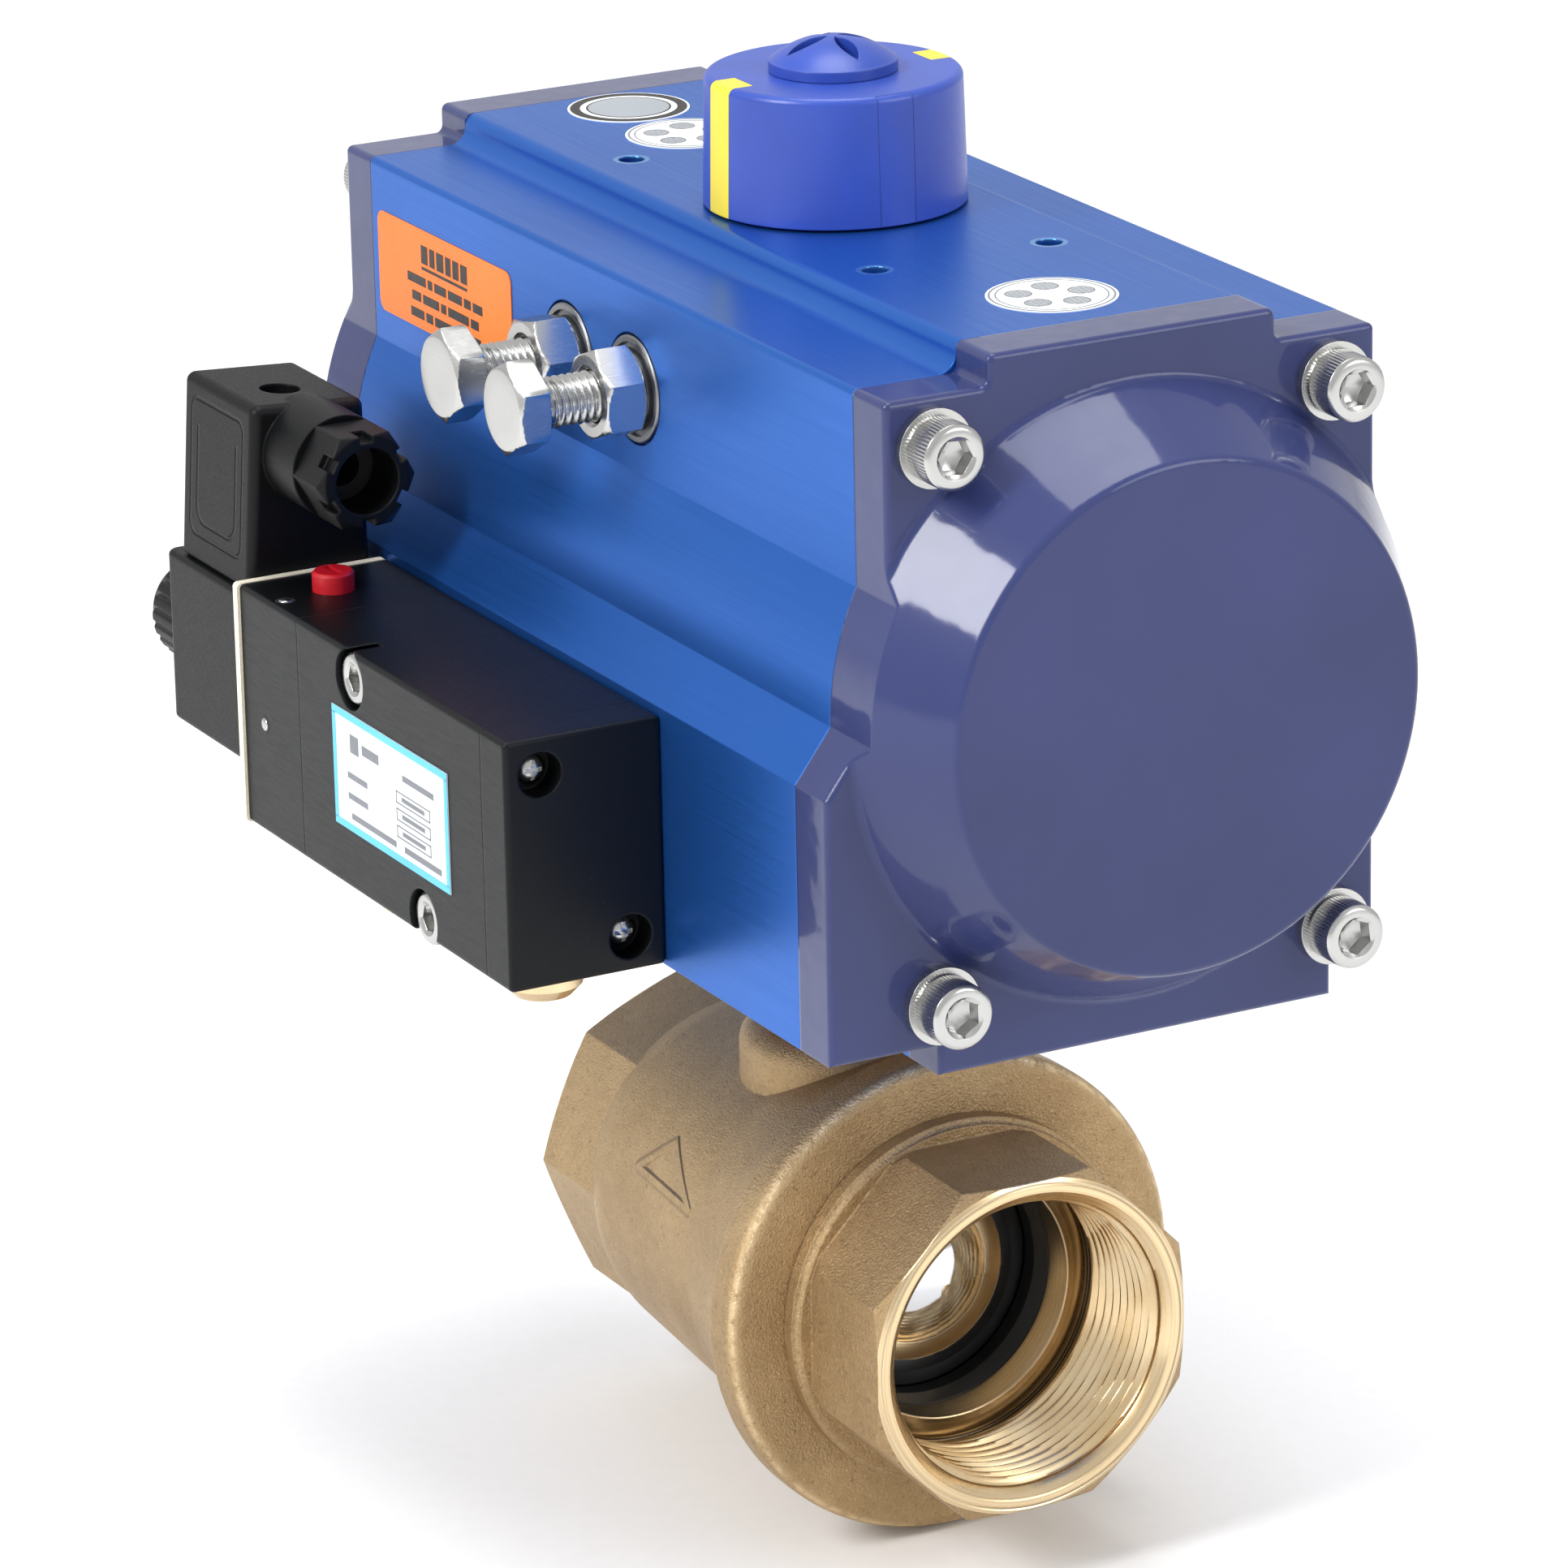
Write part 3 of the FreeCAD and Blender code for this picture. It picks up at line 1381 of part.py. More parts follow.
def port_outline(side, face):
    """A port from its seat's pocket to its mouth: lip, thread relief, thread and chamfer."""
    mouth = D.port_thread + D.port_chamfer
    return [
        (side * D.seat_outer_face, D.seat_pocket),
        (side * D.seat_outer_face, D.lip_radius),
        (side * D.relief_end, D.lip_radius),
        (side * D.relief_end, D.relief_radius),
        (side * D.thread_end, D.relief_radius),
        (side * D.thread_end, D.port_thread),
        (face - side * D.port_chamfer, D.port_thread),
        (face, mouth),
        (face + side, mouth),
        (face + side, 0),
    ]


def end_connector():
    """The screwed-in end with the front port. Its spigot holds the front seat."""
    body = new_body("end_connector", valve())
    front = D.front_face
    extrude(body, "YZ", [polygon(8, D.octagon_flats, 22.5)], D.collar_end - 3, front)
    rim = D.octagon_flats / 2
    turn(body, "X", cone_cut(front, rim - 0.3, front - 2.0, rim + 3), cut=True)
    turn(body, "X", cone_cut(D.collar_end - 3, rim + 0.3, D.collar_end + 4.5, rim + 3), cut=True)
    inner_end = D.cavity_end + 0.1
    outside = D.spigot_radius - 0.05
    seal_end = D.seal_place + D.seal_width
    spigot = [
        (inner_end, 0),
        (inner_end, outside),
        (D.seal_place, outside),
        (D.seal_place, D.seal_groove),
        (seal_end, D.seal_groove),
        (seal_end, outside),
        (D.flange_front + 0.05, outside),
        (D.flange_front + 0.05, D.collar_radius),
        (D.collar_end - 1, D.collar_radius),
        (D.collar_end, D.collar_radius - 1, 1.0),
        (D.collar_end, 0),
    ]
    turn(body, "X", spigot)
    relief_depth = 5
    bore = [
        (inner_end - 1, 0),
        (inner_end - 1, D.ball_radius),
        (inner_end, D.ball_radius),
        (inner_end + relief_depth, D.seat_pocket),
    ]
    turn(body, "X", bore + port_outline(1, front), cut=True)
    return keep(body, "end_connector")


def seat(side):
    """A seat ring: its inner side follows the ball, and its bore opens in a facet."""
    ring_body = new_body("seat", valve())
    sphere = D.ball_radius + D.seat_play
    inner = D.seat_bore
    outer = D.seat_pocket - 0.06
    face = D.seat_outer_face - 0.05
    # where the sphere meets the seat's bore, and its outside
    near = math.sqrt(sphere.number**2 - inner.number**2)
    far = math.sqrt(sphere.number**2 - outer.number**2)
    points = [
        (side * (face - D.seat_facet), inner),
        (side * face, D.seat_mouth),
        (side * face, outer),
        (side * size(far), outer),
        (side * size(near), inner, -side * sphere),
    ]
    return turn(ring_body, "X", points)


def ball_and_stem():
    ball = new_body("ball", valve())
    radius = D.ball_radius
    turn(ball, "Z", [(-radius, 0), (0, radius, radius), (radius, 0, radius)])
    extrude(ball, "XZ", [(0, 0, D.ball_bore)], -radius, radius, cut=True)
    slot_floor = D.ball_slot_floor
    slot = rectangle(-12, -4.1, 12, 4.1)
    extrude(ball, "XY", [slot], radius, slot_floor, cut=True)
    keep(ball, "ball")
    group("seats", [seat(1), seat(-1)])
    stem = new_body("stem", valve())
    collar_low, collar_high = D.collar_low, D.collar_high
    top = 76.5
    square_low = 59.0
    points = [
        (collar_low, 0),
        (collar_low, D.stem_collar),
        (collar_high, D.stem_collar),
        (collar_high, D.stem_radius),
        (top - 0.8, D.stem_radius),
        (top, D.stem_radius - 0.8),
        (top, 0),
    ]
    turn(stem, "Z", points)
    half = D.square_width / 2
    for side in (-1, 1):
        flat = rectangle(-9, side * half, 9, side * 9)
        extrude(stem, "XY", [flat], top, square_low, cut=True)
        flat = rectangle(side * half, -9, side * 9, 9)
        extrude(stem, "XY", [flat], top, square_low, cut=True)
    extrude(stem, "XY", [rectangle(-8, -4, 8, 4)], collar_low, slot_floor + 0.3)
    keep(stem, "stem")
    thrust = ring("stem_thrust_ring", valve(0, 0, collar_high + 0.1), "+Z", D.stem_radius + 0.08, 9.9, 1.8)
    rings = [thrust]
    for number in range(3):
        low = 40.05 + 2.4 * number
        hole = D.stem_radius + 0.06
        rings.append(ring("packing", valve(0, 0, low), "+Z", hole, D.packing_radius - 0.05, 2.3))
    group("stem_packing", rings)
    gland = new_body("packing_nut", valve(0, 0, 47.4))
    extrude(gland, "XY", [(0, 0, D.packing_radius - 0.05), (0, 0, D.stem_radius + 0.3)], 0, 8)
    notch = [rectangle(-12, -1.5, 12, 1.5)]
    extrude(gland, "XY", notch, 8, 6, cut=True)
    keep(gland, "packing_nut")
    place = valve(D.seal_place + 0.05)
    groove = D.seal_groove + 0.02
    seal = ring("body_seal", place, "+X", groove, D.spigot_radius - 0.03, D.seal_width - 0.1)
    keep(seal, "body_seal")


def mounting_screws():
    """Four screws from under the valve's pad into the actuator's foot."""
    foot = D.mount_circle * (math.sqrt(0.5) / 2)
    screws = []
    for x, y in corners(foot, foot):
        position = valve(x, y, D.pad_low - 0.02)
        screws.append(
            socket_screw("mounting_screw", position, "-Z", D.six_head, D.six_head_long, D.six_shank, 16, 5)
        )
    return group("mounting_screws", screws)


def build():
    actuator_body()
    for name, side in (("front", 1), ("back", -1)):
        end_cap(f"end_cap_{name}", side)
        piston(f"piston_{name}", side)
        piston_rings(name, side)
    cap_fasteners()
    return_springs()
    pinion()
    pinion_bearings()
    stop_cam()
    travel_stops()
    indicator()
    labels()
    valve_parts()
    coil()
    plug()
    ball_valve_body()
    end_connector()
    ball_and_stem()
    mounting_screws()


def check_and_write():
    """Stop on any failed object or bad shape, then write every node."""
    DOC.recompute()
    failed = [item.Label for item in DOC.Objects if {"Invalid", "Error"} & set(item.State)]
    for node in NODES:
        if node.Shape.isNull() or not node.Shape.isValid():
            failed.append(node.Label)
    if failed:
        raise RuntimeError(f"failed objects: {failed}")
    os.makedirs("parts", exist_ok=True)
    for node in NODES:
        node.Shape.exportStep(f"parts/{node.Label}.step")
    print(len(NODES), "nodes written")


build()
check_and_write()
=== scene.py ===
"""Looks for the pneumatic actuated ball valve: materials, threads, knurls, labels, light and camera."""

import json
import math

import bpy
from mathutils import Matrix, Vector


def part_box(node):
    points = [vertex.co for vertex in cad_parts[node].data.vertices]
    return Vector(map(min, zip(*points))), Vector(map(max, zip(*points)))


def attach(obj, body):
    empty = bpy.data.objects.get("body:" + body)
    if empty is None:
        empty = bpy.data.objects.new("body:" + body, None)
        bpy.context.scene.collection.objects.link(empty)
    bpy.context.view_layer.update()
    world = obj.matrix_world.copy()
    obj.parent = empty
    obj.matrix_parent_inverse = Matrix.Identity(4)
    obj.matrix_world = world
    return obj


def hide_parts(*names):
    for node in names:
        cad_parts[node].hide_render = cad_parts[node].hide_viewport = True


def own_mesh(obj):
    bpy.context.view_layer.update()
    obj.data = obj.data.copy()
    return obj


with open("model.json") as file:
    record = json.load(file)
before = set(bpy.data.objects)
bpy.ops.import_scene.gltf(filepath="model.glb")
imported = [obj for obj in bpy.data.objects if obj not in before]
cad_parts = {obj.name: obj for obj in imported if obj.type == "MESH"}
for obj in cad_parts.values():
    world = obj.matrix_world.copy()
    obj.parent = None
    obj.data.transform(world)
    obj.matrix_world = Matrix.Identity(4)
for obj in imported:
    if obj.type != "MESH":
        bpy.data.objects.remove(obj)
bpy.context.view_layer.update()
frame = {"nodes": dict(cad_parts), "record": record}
NODES = frame["nodes"]

# places in the row frame, in metres
STEM_X = -0.0563
AXIS_Z = 0.1161
FRONT_X = 0.0015
REAR_X = STEM_X - 0.055
DECK_Z = AXIS_Z + 0.05475
# how far under a face its own look still shows, and how thick the print is
SKIN = 0.0004
INK_THICK = 0.00004
MM = 0.001


# ---------------------------------------------------------------- materials

class Graph:
    """A small helper that builds one procedural material."""

    def __init__(self, name):
        self.material = bpy.data.materials.new(name)
        self.material.use_nodes = True
        self.tree = self.material.node_tree
        self.shader = self.tree.nodes["Principled BSDF"]
        self.where = self.tree.nodes.new("ShaderNodeTexCoord").outputs["Object"]

    def node(self, kind, **inputs):
        made = self.tree.nodes.new(kind)
        for key, value in inputs.items():
            socket = made.inputs[key.replace("_", " ")]
            self.feed(socket, value)
        return made

    def feed(self, socket, value):
        if isinstance(value, bpy.types.NodeSocket):
            self.tree.links.new(value, socket)
        else:
            socket.default_value = value

    def set(self, **inputs):
        for key, value in inputs.items():
            self.feed(self.shader.inputs[key.replace("_", " ")], value)
        return self

    def scaled(self, x, y, z):
        """The place, stretched along each axis: a noise over it gives brushed or turned lines."""
        made = self.node("ShaderNodeMapping", Vector=self.where)
        made.inputs["Scale"].default_value = (x, y, z)
        return made.outputs["Vector"]

    def noise(self, scale, detail=4.0, rough=0.55, vector=None):
        made = self.node("ShaderNodeTexNoise", Vector=vector or self.where, Scale=scale, Detail=detail)
        made.inputs["Roughness"].default_value = rough
        return made.outputs["Fac"]

    def math(self, operation, a, b=0.0, c=0.0):
        made = self.tree.nodes.new("ShaderNodeMath")
        made.operation = operation
        for socket, value in zip(made.inputs, (a, b, c)):
            self.feed(socket, value)
        return made.outputs[0]

    def span(self, value, low, high, to_low=0.0, to_high=1.0, smooth=False):
        made = self.node("ShaderNodeMapRange", Value=value)
        made.interpolation_type = "SMOOTHSTEP" if smooth else "LINEAR"
        for key, number in (("From Min", low), ("From Max", high), ("To Min", to_low), ("To Max", to_high)):
            made.inputs[key].default_value = number
        return made.outputs["Result"]

    def mix(self, factor, a, b):
        made = self.tree.nodes.new("ShaderNodeMix")
        made.data_type = "RGBA"
        self.feed(made.inputs[0], factor)
        for socket, value in ((made.inputs[6], a), (made.inputs[7], b)):
            self.feed(socket, value)
        return made.outputs[2]

    def axes(self):
        made = self.node("ShaderNodeSeparateXYZ", Vector=self.where)
        return made.outputs["X"], made.outputs["Y"], made.outputs["Z"]

    def radius(self, a, b, a0=0.0, b0=0.0):
        """Distance from an axis, from two coordinates and the axis's place in them."""
        first = self.math("SUBTRACT", a, a0)
        second = self.math("SUBTRACT", b, b0)
        total = self.math("ADD", self.math("MULTIPLY", first, first), self.math("MULTIPLY", second, second))
        return self.math("SQRT", total)

    def soft(self, radius):
        """The normal with its corners rounded, in millimetres."""
        made = self.tree.nodes.new("ShaderNodeBevel")
        made.samples = 6
        made.inputs["Radius"].default_value = radius * MM
        return made.outputs["Normal"]

    def times(self, *values):
        total = values[0]
        for value in values[1:]:
            total = self.math("MULTIPLY", total, value)
        return total

    def inside_box(self, a, b, a0, b0, half_a, half_b, corner):
        """Signed distance to a rectangle with rounded corners, in two coordinates."""
        first = self.math("SUBTRACT", self.math("ABSOLUTE", self.math("SUBTRACT", a, a0)), half_a - corner)
        second = self.math("SUBTRACT", self.math("ABSOLUTE", self.math("SUBTRACT", b, b0)), half_b - corner)
        out = self.radius(self.math("MAXIMUM", first, 0.0), self.math("MAXIMUM", second, 0.0))
        inner = self.math("MINIMUM", self.math("MAXIMUM", first, second), 0.0)
        return self.math("SUBTRACT", self.math("ADD", out, inner), corner)

    def segment(self, a, b, start, end):
        """Distance to a straight segment, in two coordinates."""
        run, rise = end[0] - start[0], end[1] - start[1]
        length = run * run + rise * rise
        along = self.math("ADD", self.math("MULTIPLY", self.math("SUBTRACT", a, start[0]), run / length),
                          self.math("MULTIPLY", self.math("SUBTRACT", b, start[1]), rise / length))
        along = self.math("MINIMUM", self.math("MAXIMUM", along, 0.0), 1.0)
        near_a = self.math("MULTIPLY_ADD", along, run, start[0])
        near_b = self.math("MULTIPLY_ADD", along, rise, start[1])
        return self.radius(self.math("SUBTRACT", a, near_a), self.math("SUBTRACT", b, near_b))

    def bump(self, height, strength, distance, normal=None):
        made = self.node("ShaderNodeBump", Height=height, Strength=strength, Distance=distance)
        if normal is not None:
            self.tree.links.new(normal, made.inputs["Normal"])
        return made.outputs["Normal"]


def rgb(red, green, blue):
    """A linear colour from 0..255 screen values."""
    def linear(value):
        value = value / 255.0
        return value / 12.92 if value <= 0.04045 else ((value + 0.055) / 1.055) ** 2.4
    return (linear(red), linear(green), linear(blue), 1.0)


def shade(colour, factor):
    return (colour[0] * factor, colour[1] * factor, colour[2] * factor, 1.0)


def anodised_blue():
    """The extruded body: drawn lines along X under a clear blue."""
    g = Graph("anodised_blue")
    x, y, z = g.axes()
    base = rgb(38, 102, 192)
    cloud = g.noise(14.0, 3.0)
    lines = g.noise(1.0, 4.0, 0.6, g.scaled(30.0, 1500.0, 1500.0))
    grain = g.noise(5200.0, 2.0, 0.6)
    tone = g.mix(g.span(cloud, 0.3, 0.7), shade(base, 0.93), shade(base, 1.07))
    tone = g.mix(g.span(lines, 0.35, 0.7, 0.0, 0.35), tone, shade(base, 0.84))
    # countersinks of the four tapped holes on the deck: their lighter blue is a painted highlight, and their
    # lower roughness is their machined gloss
    half_long, half_wide, sink_radius = 0.040, 0.015, 0.0029
    aside = g.math("ABSOLUTE", g.math("SUBTRACT", x, STEM_X))
    from_hole = g.radius(aside, g.math("ABSOLUTE", y), half_long, half_wide)
    sink_gloss_and_highlight = g.times(g.math("LESS_THAN", from_hole, sink_radius), g.math("GREATER_THAN", z, DECK_Z - SKIN))
    # painted highlight: the countersinks' lighter blue
    g.set(Base_Color=g.mix(sink_gloss_and_highlight, tone, rgb(86, 146, 214)))
    rough = g.math("ADD", g.span(lines, 0.3, 0.7, 0.29, 0.36), g.span(grain, 0.3, 0.7, 0.0, 0.05))
    g.set(Metallic=0.78, Roughness=g.math("MULTIPLY_ADD", sink_gloss_and_highlight, -0.12, rough))
    fine = g.bump(grain, 0.08, 0.00004, g.soft(0.35))
    g.set(Normal=g.bump(lines, 0.08, 0.00005, fine))
    return g.material


def cap_paint():
    """The end caps' thick, glossy paint over a casting that isn't quite flat."""
    g = Graph("cap_paint")
    base = rgb(46, 54, 100)
    cloud = g.noise(18.0, 3.0)
    peel = g.noise(340.0, 2.0, 0.4)
    broad = g.noise(70.0, 2.0, 0.5)
    g.set(Base_Color=g.mix(g.span(cloud, 0.3, 0.7), shade(base, 0.85), shade(base, 1.15)))
    g.set(Roughness=g.span(peel, 0.3, 0.7, 0.34, 0.44), Specular_IOR_Level=0.12)
    g.set(Coat_Weight=1.0, Coat_Roughness=0.07, Coat_IOR=1.36, IOR=1.45)
    normal = g.bump(broad, 0.24, 0.0006, g.bump(peel, 0.12, 0.00014, g.soft(0.6)))
    g.set(Normal=normal, Coat_Normal=normal)
    return g.material


def moulded(name, colour, roughness=0.38, grain_strength=0.12, spread=0.05, soft=0.3, level=0.5):
    """Moulded plastic: a slightly uneven tone, a fine grain and a soft sheen."""
    g = Graph(name)
    cloud = g.noise(60.0, 3.0)
    grain = g.noise(3200.0, 2.0, 0.6)
    g.set(Base_Color=g.mix(g.span(cloud, 0.3, 0.7), shade(colour, 0.9), shade(colour, 1.1)))
    g.set(Roughness=g.span(grain, 0.3, 0.7, roughness - spread, roughness + spread))
    g.set(Specular_IOR_Level=level)
    g.set(Normal=g.bump(grain, grain_strength, 0.00006, g.soft(soft)))
    return g.material


def plug_plastic():
    """The plug's black plastic, with the grooves that frame its broad face."""
    g = Graph("plug_black")
    x, y, z = g.axes()
    base = rgb(9, 10, 12)
    cloud = g.noise(60.0, 3.0)
    grain = g.noise(2600.0, 2.0, 0.6)
    g.set(Base_Color=g.mix(g.span(cloud, 0.3, 0.7), shade(base, 0.85), shade(base, 1.12)))
    g.set(Roughness=g.span(grain, 0.3, 0.7, 0.38, 0.50), Specular_IOR_Level=0.2)
    middle, broad_face = (STEM_X - 0.0716, AXIS_Z + 0.0040), -0.070
    frame_line = g.math("ABSOLUTE", g.inside_box(x, z, *middle, 0.0098, 0.0112, 0.0022))
    hook = g.math("ABSOLUTE", g.inside_box(x, z, middle[0], middle[1] + 0.003, 0.0073, 0.0120, 0.0030))
    hook = g.math("MAXIMUM", hook, g.math("SUBTRACT", z, middle[1] + 0.0065))
    line = g.math("MINIMUM", frame_line, hook)
    groove = g.times(g.span(line, 0.0001, 0.00045, 1.0, 0.0, True), g.math("LESS_THAN", y, broad_face))
    height = g.math("SUBTRACT", g.math("MULTIPLY", grain, 0.06), groove)
    g.set(Normal=g.bump(height, 0.9, 0.0005, g.soft(0.5)))
    return g.material


def stainless(name="stainless", tone=(196, 196, 194), roughness=0.24):
    """Bare steel with fine lines round its height."""
    g = Graph(name)
    base = rgb(*tone)
    cloud = g.noise(70.0, 2.0)
    grain = g.noise(1.0, 3.0, 0.6, g.scaled(500.0, 500.0, 5200.0))
    g.set(Base_Color=g.mix(g.span(cloud, 0.3, 0.7), shade(base, 0.94), base), Metallic=1.0)
    g.set(Roughness=g.math("ADD", g.span(grain, 0.3, 0.7, roughness - 0.03, roughness + 0.03),
                           g.span(cloud, 0.4, 0.8, 0.0, 0.03)))
    g.set(Normal=g.bump(grain, 0.03, 0.00001, g.soft(0.12)))
    return g.material


def cast_bronze():
    """The valve's sand casting, bare and bright where it is turned or has wear, with a painted highlight on
    the flange's rim and painted shade in the undercut behind the thread.
    """
    g = Graph("bronze_cast")
    x, y, z = g.axes()
    dark, mid, pale = rgb(156, 128, 90), rgb(192, 164, 122), rgb(222, 198, 158)
    cloud = g.noise(34.0, 5.0, 0.6)
    sand = g.noise(2300.0, 3.0, 0.65)
    lumps = g.noise(420.0, 4.0, 0.65)
    tone = g.mix(g.span(cloud, 0.25, 0.70), dark, mid)
    tone = g.mix(g.span(lumps, 0.35, 0.65, 0.0, 0.25), tone, shade(dark, 0.85))
    tone = g.mix(g.span(sand, 0.52, 0.78, 0.0, 0.5), tone, pale)
    pits = g.span(g.noise(1300.0, 3.0, 0.7), 0.30, 0.44, 1.0, 0.0)
    tone = g.mix(g.math("MULTIPLY", pits, 0.5), tone, shade(dark, 0.45))
    # bright metal on the flange's corners: partly wear, partly a painted highlight along the rim
    flange_radius, flange_middle, flange_half = 0.0390, STEM_X + 0.02815, 0.0034
    away = g.radius(y, z)
    rim = g.math("ABSOLUTE", g.math("SUBTRACT", away, flange_radius))
    near_rim = g.span(rim, 0.0, 0.0011, 1.0, 0.0, True)
    across = g.math("ABSOLUTE", g.math("SUBTRACT", x, flange_middle))
    from_corner = g.math("ABSOLUTE", g.math("SUBTRACT", across, flange_half))
    near_corner = g.span(from_corner, 0.0, 0.0010, 1.0, 0.0, True)
    worn_and_highlight = g.times(near_rim, near_corner, g.span(lumps, 0.36, 0.56))
    # turned faces: the ports' mouths and everything inside them
    bore_wall = 0.0256
    face = g.math("MAXIMUM", g.math("GREATER_THAN", x, FRONT_X - SKIN), g.math("LESS_THAN", x, REAR_X + SKIN))
    turned = g.math("MAXIMUM", g.math("LESS_THAN", away, bore_wall), face)
    bare = g.math("MAXIMUM", worn_and_highlight, turned)
    fineness = 3000.0
    lathe = g.node("ShaderNodeCombineXYZ", X=g.math("MULTIPLY", away, fineness),
                   Y=g.math("MULTIPLY", x, fineness))
    rings = g.noise(1.0, 3.0, 0.6, lathe.outputs[0])
    bright = g.mix(g.span(rings, 0.3, 0.7), rgb(214, 186, 142), rgb(238, 216, 178))
    # painted shade: the undercut groove behind the thread, painted dark
    groove_middle, groove_half, thread_radius = -0.0223, 0.0013, 0.02395
    relief_shade = g.math("ABSOLUTE", g.math("SUBTRACT", x, groove_middle))
    relief_shade = g.times(g.math("LESS_THAN", relief_shade, groove_half), g.math("GREATER_THAN", away, thread_radius),
                     g.math("LESS_THAN", away, bore_wall))
    bright = g.mix(g.math("MULTIPLY", relief_shade, 0.85), bright, rgb(42, 30, 18))
    g.set(Base_Color=g.mix(bare, tone, bright), Metallic=g.span(bare, 0.0, 1.0, 0.80, 1.0))
    rough = g.span(sand, 0.3, 0.7, 0.34, 0.48)
    polished = g.span(rings, 0.3, 0.7, 0.18, 0.28)
    g.set(Roughness=g.math("ADD", g.math("MULTIPLY", rough, g.math("SUBTRACT", 1.0, turned)),
                           g.math("MULTIPLY", polished, turned)))
    cast = g.math("SUBTRACT", 1.0, turned)
    height = g.math("ADD", g.math("MULTIPLY", sand, 0.75), g.math("MULTIPLY", lumps, 0.35))
    height = g.math("ADD", g.times(height, cast), g.times(rings, turned, 0.04))
    # the cast flow arrow on the barrel's side, and the thin line turned round the front face
    corners = ((STEM_X - 0.019, 0.0104), (STEM_X - 0.010, 0.017), (STEM_X + 0.002, 0.010))
    arrow = g.segment(x, z, corners[0], corners[1])
    arrow = g.math("MINIMUM", arrow, g.segment(x, z, corners[1], corners[2]))
    arrow = g.math("MINIMUM", arrow, g.segment(x, z, corners[2], corners[0]))
    ridge = g.times(g.span(arrow, 0.0004, 0.0011, 1.0, 0.0, True), g.math("LESS_THAN", y, 0.0), cast)
    line_radius = 0.0267
    from_line = g.math("ABSOLUTE", g.math("SUBTRACT", away, line_radius))
    line = g.times(g.span(from_line, 0.0, 0.0003, 1.0, 0.0), face)
    height = g.math("ADD", height, g.math("MULTIPLY", ridge, 2.6))
    height = g.math("SUBTRACT", height, g.math("MULTIPLY", line, 0.6))
    g.set(Normal=g.bump(height, 0.85, 0.00045, g.soft(0.5)))
    return g.material


def turned_brass(name="brass_turned"):
    """Bare brass with the lathe's rings round X."""
    g = Graph(name)
    rings = g.noise(1.0, 3.0, 0.6, g.scaled(2600.0, 120.0, 120.0))
    cloud = g.noise(90.0, 3.0)
    g.set(Base_Color=g.mix(g.span(cloud, 0.3, 0.7), rgb(216, 186, 138), rgb(238, 216, 178)), Metallic=1.0)
    g.set(Roughness=g.span(rings, 0.3, 0.7, 0.22, 0.34))
    g.set(Normal=g.bump(rings, 0.08, 0.00003))
    return g.material


def chrome():
    """The ball's polished plating."""
    g = Graph("chrome_ball")
    haze = g.noise(120.0, 3.0)
    lines = g.noise(1.0, 3.0, 0.6, g.scaled(60.0, 60.0, 2600.0))
    g.set(Base_Color=g.mix(haze, rgb(205, 206, 208), rgb(232, 232, 234)), Metallic=1.0)
    g.set(Roughness=g.span(lines, 0.3, 0.7, 0.04, 0.09), Normal=g.bump(lines, 0.06, 0.00002))
    return g.material


def black_anodised():
    """The solenoid valve's brushed black block, with a few specks of dust."""
    g = Graph("block_black")
    cloud = g.noise(40.0, 4.0)
    brushed = g.noise(1.0, 4.0, 0.65, g.scaled(240.0, 2600.0, 2600.0))
    dust = g.span(g.noise(2200.0, 2.0, 0.7), 0.68, 0.76)
    base = rgb(7, 9, 12)
    tone = g.mix(g.span(cloud, 0.3, 0.7), shade(base, 0.8), shade(base, 1.15))
    g.set(Base_Color=g.mix(g.math("MULTIPLY", dust, 0.2), tone, rgb(80, 84, 88)), Metallic=0.1)
    g.set(Roughness=g.span(brushed, 0.3, 0.7, 0.34, 0.44), Specular_IOR_Level=0.24)
    g.set(Normal=g.bump(brushed, 0.10, 0.00003, g.soft(0.5)))
    return g.material


def rubber(name="rubber_black", tone=(22, 22, 23)):
    """Matt rubber with an uneven tone."""
    g = Graph(name)
    grain = g.noise(1800.0, 3.0)
    base = rgb(*tone)
    g.set(Base_Color=g.mix(grain, shade(base, 0.8), shade(base, 1.3)))
    g.set(Roughness=g.span(grain, 0.3, 0.7, 0.5, 0.65))
    g.set(Normal=g.bump(grain, 0.2, 0.0001))
    return g.material


def vinyl(name, tone, roughness=0.45):
    """Label film and its inks."""
    g = Graph(name)
    fibre = g.noise(900.0, 3.0)
    broad = g.noise(60.0, 2.0)
    base = rgb(*tone)
    g.set(Base_Color=g.mix(g.span(broad, 0.3, 0.7), shade(base, 0.95), shade(base, 1.04)))
    g.set(Roughness=g.span(fibre, 0.3, 0.7, roughness - 0.05, roughness + 0.05))
    g.set(Normal=g.bump(fibre, 0.08, 0.00005))
    return g.material


